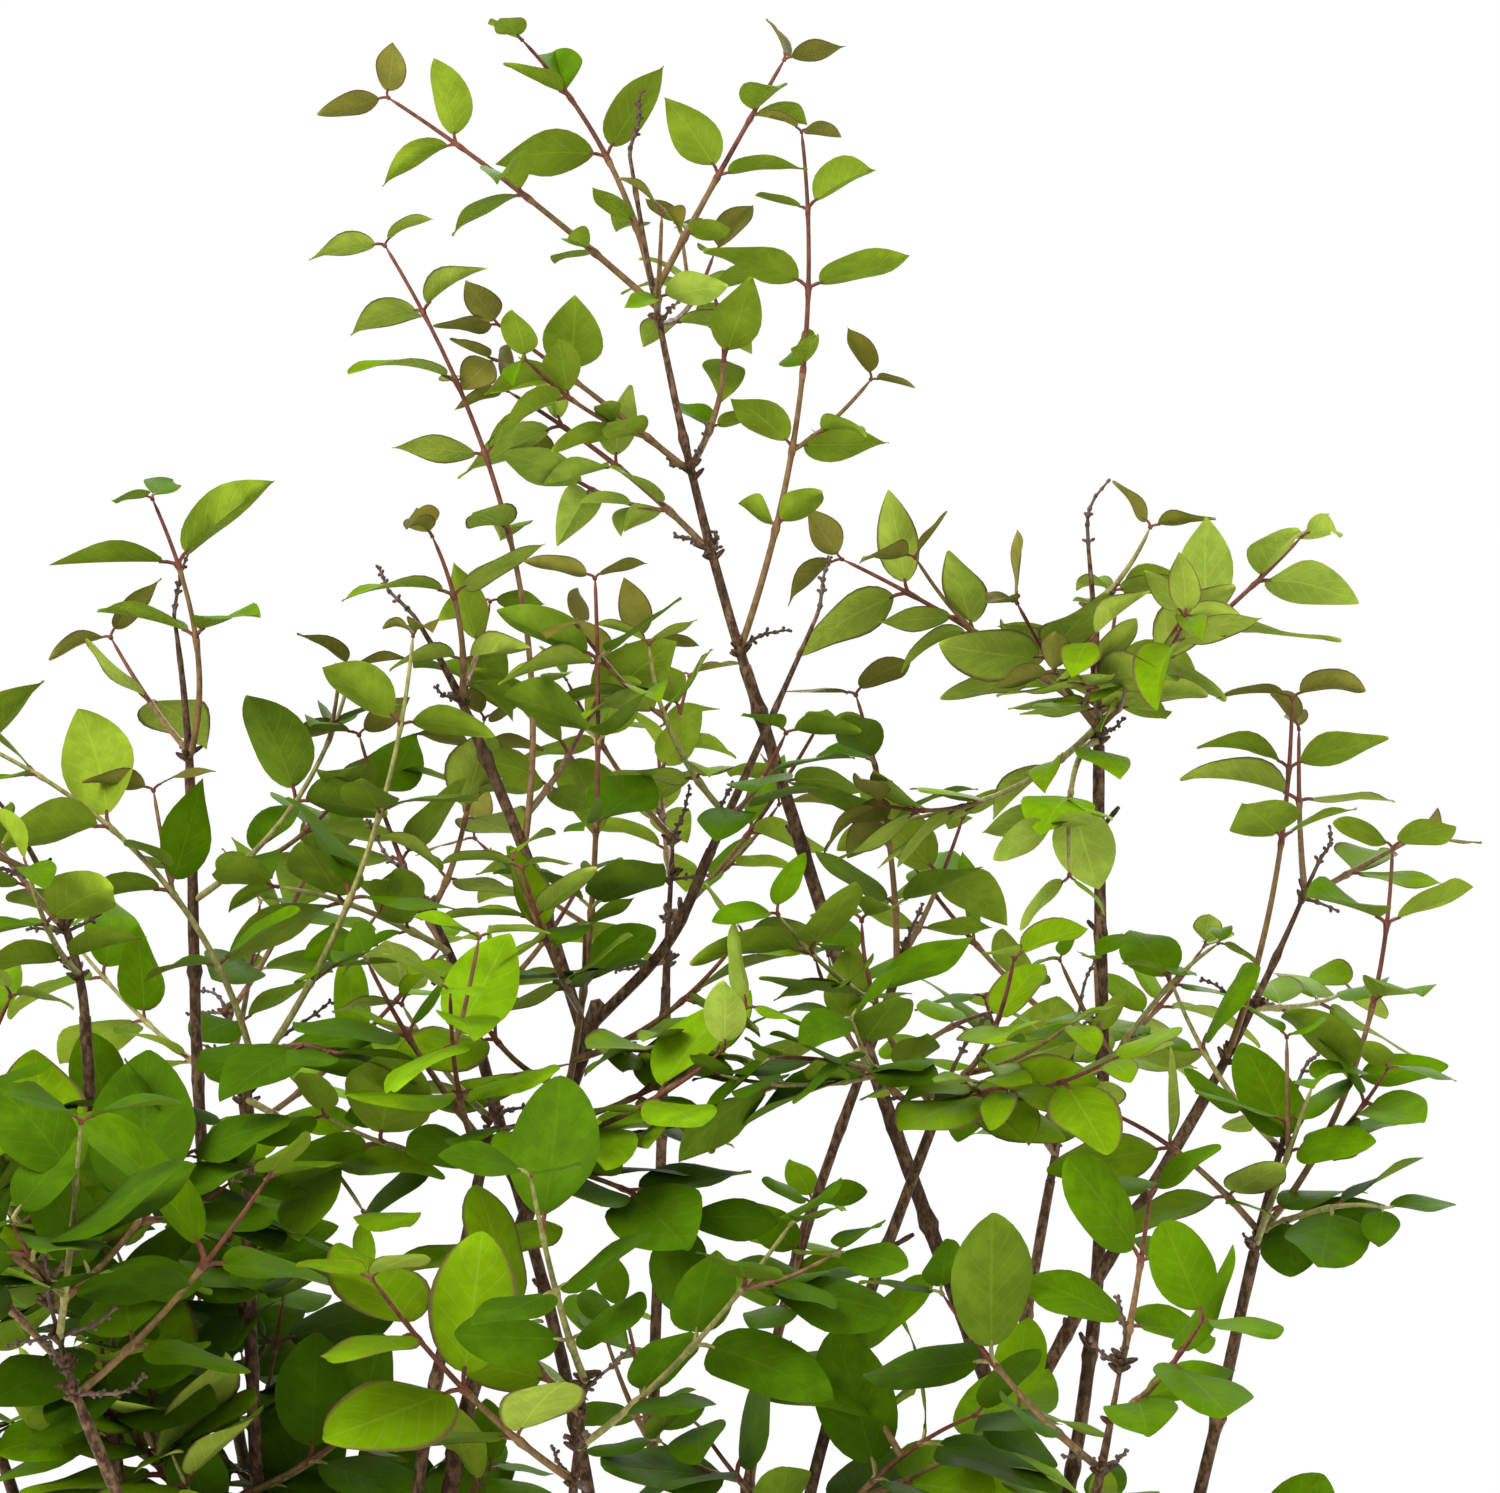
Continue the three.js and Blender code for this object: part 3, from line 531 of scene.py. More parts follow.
def low_mass(limb, height, leafiness, limbs):
    """A low mass has one arching stem, with shoots round it."""
    line = limbs[limb].line
    root = line.at(line.share_at_height(height))
    swing = math.radians(between((-LOW_SWING, LOW_SWING), dice(height, HEADING)))
    rise = between(LOW_RISE, dice(height, RISE))
    fullness = min(1, LOW_FULL * leafiness)
    length = between(LOW_LENGTH, dice(height, LENGTH)) * between(LOW_REACH, fullness)
    return Mass(
        on=limb,
        to=root + length * direction_of(math.atan2(root[1], root[0]) + swing, rise),
        height=height,
        bow=(0, 0, LOW_ARCH * length),
        fan=(round(LOW_SHOOTS * math.sqrt(leafiness)), LOW_SECOND * length, height),
        leafiness=leafiness,
        leaf_scale=between(LOW_LEAVES, fullness),
    )


def stem_line(mass, limb):
    to = np.array(mass.to, float)
    if mass.height:
        return bowed(limb.line.at(limb.line.share_at_height(mass.height)), to, mass.bow)
    onward = limb.line.heading(1)
    return carried_on(limb.line.at(1) - onward * GAP, onward, to)


def tint_of(seed, place):
    """The tint of a spray: its own draw from the shares that its height has. A spray on the right draws as
    if it stood higher, so it gets more painted light and less painted shade.
    """
    height = max(place[2], min(PAINTED_LIGHT_SIDE_TOP, place[2] + PAINTED_LIGHT_SIDE * max(0, place[0])))
    shares = next(shares for top, shares in TINT_SHARES if height < top)
    draw = dice(seed, TINT)
    for tint, share in enumerate(shares):
        draw -= share
        if draw < 0:
            return tint
    return len(shares) - 1


def grow_twigs(mass, limbs, seed, shoots):
    """The stem of a mass and the shoots on it, by the source's rule."""
    limb = limbs[mass.on]
    line = stem_line(mass, limb)
    spacing = shoots.pair_spacing / MM
    thick, thin = shoots.thickness / MM, shoots.tip_thickness / MM
    rows = list(mass.shoots)
    if mass.fan:
        rows += fan_of(line, *mass.fan)
    if mass.height:
        stem = Twig(line, seed, thick, thin, pair_shares(line, spacing, mass.bare))
    else:
        stem = Twig(line, seed, limb.thin, SPIKE_THIN, (), woody=True)
        for at in sorted(row[0] for row in rows):
            if not stem.forks or at - stem.forks[-1] > FORK_GAP:
                stem.forks += (at,)
    twigs = [stem]
    for i, (at, to, bow, *bare) in enumerate(rows, 1):
        shoot = bowed(line.at(at), np.array(to, float), bow)
        shares = pair_shares(shoot, spacing, *bare)
        twigs.append(Twig(shoot, seed + i * SHOOT_SEED_STEP, thick, thin, shares))
    for twig in twigs:
        twig.tint = tint_of(twig.seed, twig.line.at(TINT_PLACE))
        twig.leaf_scale, twig.leafiness = mass.leaf_scale, mass.leafiness
    return twigs


def leaf_on_pair(twig, pair, flank, turn, leaves):
    """Leaves stand in opposite pairs. On an upright shoot each pair is crossed over the last, and
    on a shoot that leans over they all turn to lie level."""
    leaf_number = 2 * pair + flank
    seed = twig.seed + TURN_SEED_STEP * turn

    def drawn(limits, what):
        return between(limits, dice(seed, DRAWS_PER_LEAF * leaf_number + what))

    share = twig.shares[pair]
    node = twig.line.at(share)
    up = twig.line.heading(share)
    spin = math.radians(SPIN_MOST * dice(twig.seed, SPIN))
    crossed = pair * up[2] ** 2 * math.pi / 2
    roll = math.radians(drawn(LEAF_ROLL, ROLL))
    lean = math.radians(drawn(LEAF_LEAN, LEAN))
    outward = sideways(up, spin + crossed + roll + flank * math.pi, (0, 0, 1))
    along = outward * math.cos(lean) + up * math.sin(lean)
    along[2] = along[2] * LEVELLING + drawn(LIFT, LIFTED)
    along = unit(along)
    lean_back = np.clip((node[2] - LEAN_HEIGHT) / LEAN_RISE, *LEAN_LIMITS)
    face = np.array((drawn(TILT_ACROSS, TILT_X), drawn(TILT_BACK, TILT_Y) + lean_back, 1))
    face = unit(face - along * (face @ along))
    length = leaves.length / MM * twig.leaf_scale * drawn(SIZE_SPREAD, SIZE)
    length *= np.interp(share, SIZE_SHARES, SIZES) * np.interp(node[2], SIZE_HEIGHTS, HEIGHT_SIZES)
    base = node + leaves.stalk * length * unit(along + STALK_RISE * up)
    tint = twig.tint
    if share == 1 and node[2] > BRONZE_HEIGHT and dice(twig.seed, BRONZING) < BRONZE_SHARE:
        tint = TINTS.index("bronze")
    places = (DRAWS_PER_SHAPE * leaf_number + what for what in SHAPE_DRAWS)
    shape = tuple(dice(twig.seed + SHAPE_SEED, place) for place in places)
    return Leaf(node, base, along, face, up, length, tint, shape)


def grow_leaf(twig, pair, flank, leaves, wood, foliage):
    """The first way to turn a leaf that stays in the crown and has room, if any does."""
    for turn in range(TURNS_TRIED):
        leaf = leaf_on_pair(twig, pair, flank, turn, leaves)
        middle, tip = (leaf.base + leaf.along * leaf.length * share for share in (0.5, 1))
        if (tip < CROWN_LOW).any() or (tip > CROWN_HIGH).any():
            continue
        if wood.has(middle, id(twig)) and wood.has(tip, id(twig)) and foliage.has(middle, None):
            foliage.add(middle, id(twig))
            return [leaf]
    return []


def sprigs_of(twig, leaves, shoots):
    """Sprigs stand over some leaves of a shoot, and lean out half-way between leaf and shoot."""
    sprigs = []
    for pair, share in enumerate(twig.shares[:-1]):
        if not SPRIG_SHARES[0] < share < SPRIG_SHARES[1]:
            continue
        for flank in (0, 1):
            seed = twig.seed + SPRIG_SEED + pair * SPRIG_SEED_STEPS[0] + flank * SPRIG_SEED_STEPS[1]
            start = twig.line.at(share)
            chance = np.interp(start[2], SPRIG_HEIGHTS, SPRIG_CHANCES) * twig.leafiness
            if dice(seed, SPRIG) > chance:
                continue
            leaf = leaf_on_pair(twig, pair, flank, 0, leaves)
            length = between(SPRIG_LENGTH, dice(seed, LENGTH)) * between(SPRIG_TAPER, share)
            to = start + length * unit(leaf.along + twig.line.heading(share))
            to = np.clip(to, CROWN_LOW + CROWN_MARGIN, CROWN_HIGH - CROWN_MARGIN)
            line = bowed(start, to, (0, 0, -FAN_SAG * length))
            shares = pair_shares(line, shoots.sprig_spacing / MM)
            thick, thin = shoots.sprig_thickness / MM, shoots.tip_thickness / MM
            scale = SPRIG_LEAF * twig.leaf_scale
            sprigs.append(Twig(line, seed, thick, thin, shares, twig.tint, scale))
    return sprigs


def grow_shrub(settings):
    """The whole shrub as limbs, twigs and leaves, the same each time."""
    shoots, leaves = settings.shoots, settings.leaves
    limbs = grow_limbs()
    masses = list(MASSES.values()) + [low_mass(*row, limbs) for row in LOW_FOLIAGE]
    twigs = []
    for i, mass in enumerate(masses):
        twigs += grow_twigs(mass, limbs, SEED_OF_MASSES + i * SEED_STEP, shoots)
    for twig in list(twigs):
        twigs += sprigs_of(twig, leaves, shoots)
    wood = Room(WOOD_ROOM)
    for piece in [*limbs.values(), *twigs]:
        for place in piece.line.at(np.linspace(0, 1, 2 + int(piece.line.length / WOOD_ROOM))):
            wood.add(place, id(piece))
    foliage = Room(LEAF_ROOM)
    grown = []
    for twig in twigs:
        for pair in range(len(twig.shares)):
            for flank in (0, 1):
                grown += grow_leaf(twig, pair, flank, leaves, wood, foliage)
    return limbs, twigs, grown


class Parts:
    """Collects the vertices, faces and face materials of one mesh."""

    def __init__(self):
        self.places = []
        self.faces = []
        self.slots = []
        self.count = 0

    def add(self, places, faces, slots=0):
        self.places.append(np.asarray(places, float).reshape(-1, 3))
        self.faces += [[corner + self.count for corner in face] for face in faces]
        self.slots += list(np.broadcast_to(slots, len(faces)))
        self.count += len(self.places[-1])

    def made(self, name, finishes, sharp=60):
        """The mesh object, in metres, with one material slot for each finish."""
        mesh = bpy.data.meshes.new(name)
        mesh.from_pydata((np.vstack(self.places) * MM).tolist(), [], self.faces)
        mesh.polygons.foreach_set("material_index", np.asarray(self.slots, np.int32))
        return shown(name, mesh, finishes, sharp)


def shown(name, mesh, finishes, sharp):
    """The object of a mesh, shaded smooth but for edges sharper than an angle in degrees."""
    mesh.shade_smooth()
    mesh.set_sharp_from_angle(angle=math.radians(sharp))
    for finish in finishes:
        mesh.materials.append(finish)
    piece = bpy.data.objects.new(name, mesh)
    bpy.context.scene.collection.objects.link(piece)
    return piece


def standing_for(piece, slot, *nodes):
    """Ties a piece to the plant's one body and hides the nodes that it replaces. The finish slot given to
    it is not used.
    """
    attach(piece, "root")
    if nodes:
        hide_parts(*nodes)


TUBE_GUIDE = (0.31, 0.17, 0.09)
CAP_REACH = (0.5, 0.6)


def rings_along(places, radii, sides):
    """A closed tube round a line: rings of points, and a point a little beyond either end."""
    places = np.asarray(places, float)
    radii = np.broadcast_to(np.asarray(radii, float).reshape(len(places), -1), (len(places), sides))
    headings = np.gradient(places, axis=0)
    headings /= np.linalg.norm(headings, axis=1)[:, None]
    angles = np.arange(sides) * 2 * math.pi / sides
    side = np.cross(headings[0], TUBE_GUIDE)
    rings = np.empty((len(places), sides, 3))
    for i, (place, heading) in enumerate(zip(places, headings)):
        side = unit(side - heading * (heading @ side))
        up = np.cross(heading, side)
        spokes = np.cos(angles)[:, None] * side + np.sin(angles)[:, None] * up
        rings[i] = place + spokes * radii[i][:, None]
    first = places[0] - headings[0] * radii[0].mean() * CAP_REACH[0]
    last = places[-1] + headings[-1] * radii[-1].mean() * CAP_REACH[1]
    points = np.vstack((rings.reshape(-1, 3), first, last))
    top, root, tip = (len(places) - 1) * sides, len(places) * sides, len(places) * sides + 1
    faces = []
    for here in range(0, top, sides):
        for j in range(sides):
            k, there = (j + 1) % sides, here + sides
            faces.append((here + j, here + k, there + k, there + j))
    for j in range(sides):
        k = (j + 1) % sides
        faces.append((root, k, j))
        faces.append((top + j, top + k, tip))
    return points, faces


def add_peg(parts, foot, way, length, radii, sides):
    """A short straight peg of wood, with a radius at each of its rings."""
    places = np.linspace(foot, foot + unit(way) * length, len(radii))
    parts.add(*rings_along(places, radii, sides))


# Canes and stems with their bark

RING_GAP = 2.6
CANE_SIDES = 14
NODE_GAP = (34, 52)
NODE_WIDTH = 2.6
NODE_END = 4
NODE_SWELLING = 0.16
BUD_SWELLING = 0.34
BUD_SPREAD = 0.55
SLIMNESS = (0.74, 0.86)
FLARE_REACH = 16
SKIN_ROUND = 1.3
SKIN_ALONG = 0.06
RIDGES = 5
RIDGE_HEIGHT = 0.5
FEWEST_RINGS = 6


def nodes_along(length, seed):
    """The distances of the swollen nodes along a cane."""
    marks, run = [], 0.0
    while True:
        run += between(NODE_GAP, dice(seed, len(marks)))
        if run > length - NODE_END:
            return np.array(marks)
        marks.append(run)


def bark_radii(line, run, radius, seed, relief):
    """The radius round each ring of a cane: swollen nodes, paired buds, ridges and a rough skin."""
    angles = np.arange(CANE_SIDES) * 2 * math.pi / CANE_SIDES
    radii = np.repeat(radius[:, None], CANE_SIDES, axis=1)
    for i, mark in enumerate(nodes_along(line.length, seed)):
        near = np.exp(-(((run - mark) / NODE_WIDTH) ** 2))[:, None]
        turn = seed + i * math.pi / 2
        round_way = np.abs(np.sin((angles - turn) / 2)) * 2
        other_way = np.abs(np.cos((angles - turn) / 2)) * 2
        buds = np.exp(-((round_way / BUD_SPREAD) ** 2)) + np.exp(-((other_way / BUD_SPREAD) ** 2))
        radii *= 1 + near * (NODE_SWELLING + BUD_SWELLING * buds[None, :])
    for i, distance in enumerate(run):
        for j, angle in enumerate(angles):
            x, y = SKIN_ROUND * math.cos(angle), SKIN_ROUND * math.sin(angle)
            place = Vector((x, y, distance * SKIN_ALONG + seed))
            rough = noise.noise(place) + RIDGE_HEIGHT * noise.noise(place * RIDGES)
            radii[i, j] *= 1 + relief * rough
    return radii


def add_cane(parts, line, thick, thin, flare, seed, relief):
    """A tapering cane, flared where it leaves the compost."""
    share = np.linspace(0, 1, max(FEWEST_RINGS, int(line.length / RING_GAP)))
    run = share * line.length
    radius = between((thick, thin), share) / 2 * between(SLIMNESS, share)
    radius *= 1 + (flare - 1) * np.exp(-run / FLARE_REACH)
    parts.add(*rings_along(line.at(share), bark_radii(line, run, radius, seed, relief), CANE_SIDES))


# Dry spikes: a thin crooked stalk with knots, and a scar to either side of each knot
SPIKE_LENGTH = (15, 27)
SPIKE_MOST = 0.5
SPIKE_CHANCE = 0.66
SPIKE_THICK = 1.4
SPIKE_TAPER = 0.5
SPIKE_RING_GAP = 0.5
SPIKE_SIDES = 6
SIDE_SPIKE_LENGTH = (11, 25)
SIDE_SPIKE_LEAN = 0.3
SIDE_SPIKE_SEED_STEP = 3.1
SPIKE_GUIDE = (0.1, 1, 0.2)
KNOT_GAP = (2.2, 5.6)
KNOT_TAPER = (1.2, 0.6)
KNOT_SWELLING = (0.2, 0.6)
KNOT_WIDTH = 0.6
KNOT_SEED_STEP = 0.7
CROOKEDNESS = 0.55
SCAR_CHANCE = 0.8
SCAR_REACH = (1.1, 2.3)
SCAR_TAPER = (1.2, 0.7)
SCAR_RADII = (0.5, 0.4, 0.68, 0.45)
SCAR_SIDES = 5
SCAR_GUIDE = (0.3, 0.2, 0.9)

# The places in a spike's draws at which each kind starts
CROOKS = (1, 2, 3)
REACHES, GAPS, SWELLINGS, SCARS = 9, 20, 60, 80

# Knobs of old bud scales where shoots leave a stem
KNOB_COUNT = 7
KNOB_LENGTH = (1.6, 3.4)
KNOB_LIFT = (-2, 3)
KNOB_RADII = (1.3, 1.1, 0.95, 0.5)
KNOB_SIDES = 6
KNOB_SEED_STEP = 5.3
PEG_LEAN = 0.5

# Stubs of broken twigs on the canes
STUB_LENGTH = (3, 9)
STUB_CHANCE = 0.4
STUB_LOWEST = 300
STUB_RADII = (1.1, 1.0, 0.8, 0.95, 0.7)
STUB_SIDES = 7
STUB_CHANCES, STUB_TURNS, STUB_LENGTHS = 0.1, 0.2, 0.3
CANE_SEED = 1.3
STEM_SEED = 40.7
STEM_STEPS = 40


def add_spike(parts, start, direction, length, seed):
    """A dry spike of last year's fruit: its knots stand every few millimetres, closer together and
    smaller towards its tip."""
    knots, run = [], 0.0
    while run < length:
        run += between(KNOT_GAP, dice(seed, GAPS + len(knots))) * between(KNOT_TAPER, run / length)
        knots.append(run)
    places = [start]
    heading = unit(direction)
    for i, knot in enumerate(knots):
        crook = np.array([dice(seed + KNOT_SEED_STEP * i, place) - 0.5 for place in CROOKS])
        heading = unit(heading + CROOKEDNESS * crook)
        places.append(places[-1] + heading * (knot - (knots[i - 1] if i else 0.0)))
    line = Line(places)
    share = np.linspace(0, 1, 2 + int(line.length / SPIKE_RING_GAP))
    radius = SPIKE_THICK / 2 * (1 - SPIKE_TAPER * share)
    for i, knot in enumerate(knots):
        swelling = between(KNOT_SWELLING, dice(seed, SWELLINGS + i))
        radius = radius + swelling * np.exp(-(((share * line.length - knot) / KNOT_WIDTH) ** 2))
    parts.add(*rings_along(line.at(share), radius, SPIKE_SIDES))
    for i, knot in enumerate(knots):
        heading = line.heading(min(1, knot / line.length))
        scar = sideways(heading, i * math.pi / 2 + seed, SCAR_GUIDE)
        for flank, side in enumerate((scar, -scar)):
            if dice(seed + i, SCARS + flank) < SCAR_CHANCE:
                reach = between(SCAR_REACH, dice(seed + i, REACHES + flank))
                reach *= between(SCAR_TAPER, knot / length)
                foot = line.at(knot / line.length)
                add_peg(parts, foot, side + PEG_LEAN * heading, reach, SCAR_RADII, SCAR_SIDES)


def spike_share(twig):
    """How much of a woody stem is the dry spike at its end."""
    return min(SPIKE_MOST, between(SPIKE_LENGTH, dice(twig.seed, SPIKE)) / twig.line.length)


def add_knobs(parts, stem):
    """The knobbly cluster of old bud scales where shoots leave a woody stem."""
    for i, fork in enumerate(stem.forks):
        heading = stem.line.heading(fork)
        for j in range(KNOB_COUNT):
            seed = stem.seed + KNOB_SEED_STEP * i + j
            out = sideways(heading, dice(seed, HEADING) * 2 * math.pi)
            reach = between(KNOB_LENGTH, dice(seed, LENGTH)) + stem.thick / 2
            foot = stem.line.at(fork) + heading * between(KNOB_LIFT, dice(seed, RISE))
            add_peg(parts, foot, out + PEG_LEAN * heading, reach, KNOB_RADII, KNOB_SIDES)


def add_stubs(parts, limb, i):
    """The stubs of broken twigs at some nodes of a cane, above its bare foot."""
    for j, mark in enumerate(nodes_along(limb.line.length, CANE_SEED + i)):
        share = mark / limb.line.length
        if limb.line.at(share)[2] > STUB_LOWEST and dice(i + STUB_CHANCES, j) < STUB_CHANCE:
            heading = limb.line.heading(share)
            out = sideways(heading, dice(i + STUB_TURNS, j) * 2 * math.pi)
            length = between(STUB_LENGTH, dice(i + STUB_LENGTHS, j)) + limb.thin / 2
            add_peg(parts, limb.line.at(share), out + heading, length, STUB_RADII, STUB_SIDES)


def make_canes(limbs, twigs, finish, relief):
    """The bark of all the limbs, and of the stems that carry them on into the crown."""
    canes, stems = Parts(), Parts()
    for i, limb in enumerate(limbs.values()):
        add_cane(canes, limb.line, limb.thick, limb.thin, limb.flare, CANE_SEED + i, relief)
        add_stubs(canes, limb, i)
    for i, twig in enumerate(twigs):
        if twig.woody:
            bare = Line(twig.line.at(np.linspace(0, 1 - spike_share(twig), STEM_STEPS)))
            add_cane(stems, bare, twig.thick, twig.thin, 1.0, STEM_SEED + i, relief)
            add_knobs(stems, twig)
    standing_for(canes.made("cane_bark", [finish]), "bark", *limbs)
    standing_for(stems.made("stem_bark", [finish]), "bark", *MASS_NODES)


def make_spikes(twigs, finish):
    """Dry spikes at the ends of the woody stems, and in pairs where shoots leave them."""
    parts = Parts()
    for twig in (twig for twig in twigs if twig.woody):
        share = spike_share(twig)
        foot, end = twig.line.at(1 - share), twig.line.heading(1)
        add_spike(parts, foot - end, end, share * twig.line.length, twig.seed)
        for i, fork in enumerate(twig.forks):
            heading = twig.line.heading(fork)
            out = sideways(heading, dice(twig.seed + i, HEADING) * 2 * math.pi, SPIKE_GUIDE)
            for flank, side in enumerate((out, -out)):
                seed = twig.seed + SIDE_SPIKE_SEED_STEP * (i + 1) + flank
                if dice(seed, SPIKE) < SPIKE_CHANCE:
                    length = between(SIDE_SPIKE_LENGTH, dice(seed, LENGTH))
                    way = side + SIDE_SPIKE_LEAN * heading
                    add_spike(parts, twig.line.at(fork), way, length, seed)
    standing_for(parts.made("dry_spikes", [finish]), "bark")


# Shoots and leaf stalks

SHOOT_RING_GAP = 3.4
SHOOT_RINGS = 4
SHOOT_SIDES = 8
SWELLING = 0.42
SWELLING_WIDTH = 1.5
SWELLING_RINGS = 0.004
BUD_POINT = 0.3
TAN, REDDISH, PALE = range(3)
RED_FROM = 0.45
PALE_SHARE = 0.16
PALE_HIGHEST = 780
STALK_SIDES = 5
STALK_RADIUS = (0.25, 0.012)
STALK_TAPER = np.array((1.5, 1, 1, 0.8))
STALK_IN_LEAF = 0.04
PALE_STALKS = 0.5


def is_pale(twig):
    return dice(twig.seed, PALING) < PALE_SHARE and twig.line.at(0.5)[2] < PALE_HIGHEST


def make_shoots(twigs, finishes):
    """Shoots are swollen at each pair of leaves, tan at the foot and red-brown above."""
    parts = Parts()
    for twig in (twig for twig in twigs if not twig.woody):
        share = np.linspace(0, 1, max(SHOOT_RINGS, int(twig.line.length / SHOOT_RING_GAP)))
        near = [(mark - SWELLING_RINGS, mark + SWELLING_RINGS) for mark in twig.shares[:-1]]
        share = np.unique(np.concatenate((share, *near)))
        radius = between((twig.thick, twig.thin), share) / 2
        for mark in twig.shares:
            off = (share - mark) * twig.line.length / SWELLING_WIDTH
            radius = radius * (1 + SWELLING * np.exp(-(off**2)))
        radius[-1] *= BUD_POINT
        red_from = next((mark for mark in twig.shares if mark > RED_FROM), 1)
        colours = np.where(share[:-1] + share[1:] < 2 * red_from, TAN, REDDISH)
        if is_pale(twig):
            colours[:] = PALE
        ends = np.tile((colours[0], colours[-1]), SHOOT_SIDES)
        points, faces = rings_along(twig.line.at(share), radius, SHOOT_SIDES)
        parts.add(points, faces, np.concatenate((np.repeat(colours, SHOOT_SIDES), ends)))
    standing_for(parts.made("leafy_shoots", finishes), "foliage", *MASS_NODES)


def make_stalks(grown, finishes):
    """A thin stalk from the shoot to the foot of each leaf."""
    parts = Parts()
    # The tint whose colours are painted shade; some of its leaves get pale stalks.
    deep = TINTS.index("deep")
    for leaf in grown:
        middle = leaf.node + leaf.heading * np.linalg.norm(leaf.base - leaf.node) / 2
        end = leaf.base + leaf.along * STALK_IN_LEAF * leaf.length
        places = arc(leaf.node, middle, end).at(np.linspace(0, 1, len(STALK_TAPER)))
        radii = STALK_TAPER * (STALK_RADIUS[0] + STALK_RADIUS[1] * leaf.length)
        points, faces = rings_along(places, radii, STALK_SIDES)
        pale = leaf.tint == deep and leaf.shape[0] < PALE_STALKS
        parts.add(points, faces, PALE if pale else REDDISH)
    standing_for(parts.made("leaf_stalks", finishes), "foliage", *MASS_NODES)


# Leaves: two thin sheets that share their outline. Rows run from the stalk to the tip.

ROW_COUNT = 13
ROWS = (1 - np.cos(np.linspace(0, math.pi, ROW_COUNT + 2)[1:-1])) / 2
COLUMNS = np.array((-1, -0.5, 0, 0.5, 1))
SHEET = len(ROWS) * len(COLUMNS)
LEAF_SHARP = 80

# Low leaves are broad with a blunt tip, and high ones pointed. The powers of the outline and the
# width are each a least value, what a leaf's own draw adds and what its height adds.
BROAD_BELOW = 540
POINTED_RISE = 220
FOOT_POWER = (0.48, 0.16, 0.1)
TIP_POWER = (0.56, 0.3, 0.38)
WIDTHS = (0.88, 0.34, -0.14)

# How far a leaf bends, folds, twists and cups, by its own draw and by its height
DROOPS = (-0.35, 1.35)
DROOP_BY_HEIGHT = (0.6, 1.0)
FOLDS = (0.1, 1.5)
FOLD_BY_HEIGHT = (0.4, 1.1)
TWISTS = (-0.55, 0.55)
CUPPING = 0.16

# The edges ripple along the leaf, less on one side than on the other
RIPPLES = 1.35
RIPPLE_SIDES = (-0.7, 1.0)


def leaf_faces():
    """The triangles of one leaf, with the sheet that each is on: 0 above and 1 beneath. Both sheets
    are cut along the same diagonals, so that neither comes through the other."""
    rows, columns = len(ROWS), len(COLUMNS)
    root, tip = 2 * SHEET - 2 * rows, 2 * SHEET - 2 * rows + 1

    def corner(row, column, sheet):
        if sheet == 0 or column in (0, columns - 1):
            return row * columns + column
        return SHEET + row * (columns - 2) + column - 1

    triangles, sheets = [], []
    for sheet in (0, 1):
        for column in range(columns - 1):
            own = [(root, corner(0, column + 1, sheet), corner(0, column, sheet))]
            own.append((tip, corner(rows - 1, column, sheet), corner(rows - 1, column + 1, sheet)))
            for row in range(rows - 1):
                near, next_near = corner(row, column, sheet), corner(row, column + 1, sheet)
                far, next_far = corner(row + 1, column, sheet), corner(row + 1, column + 1, sheet)
                own += [(near, next_near, next_far), (near, next_far, far)]
            triangles += [triangle[:: -1 if sheet else 1] for triangle in own]
            sheets += [sheet] * len(own)
    return np.array(triangles), np.array(sheets)


def half_widths(v, wide, blunt, high, width):
    """Half the width of each leaf at each row, from nothing at its foot to nothing at its tip."""

    def summed(numbers, draw):
        return numbers[0] + numbers[1] * draw + numbers[2] * high

    foot_power, tip_power = summed(FOOT_POWER, wide), summed(TIP_POWER, blunt)
    widest = foot_power / (foot_power + tip_power)
    most = widest**foot_power * (1 - widest) ** tip_power
    outline = v[None] ** foot_power[:, None] * (1 - v[None]) ** tip_power[:, None] / most[:, None]
    return outline * (width * summed(WIDTHS, wide) / 2)[:, None]


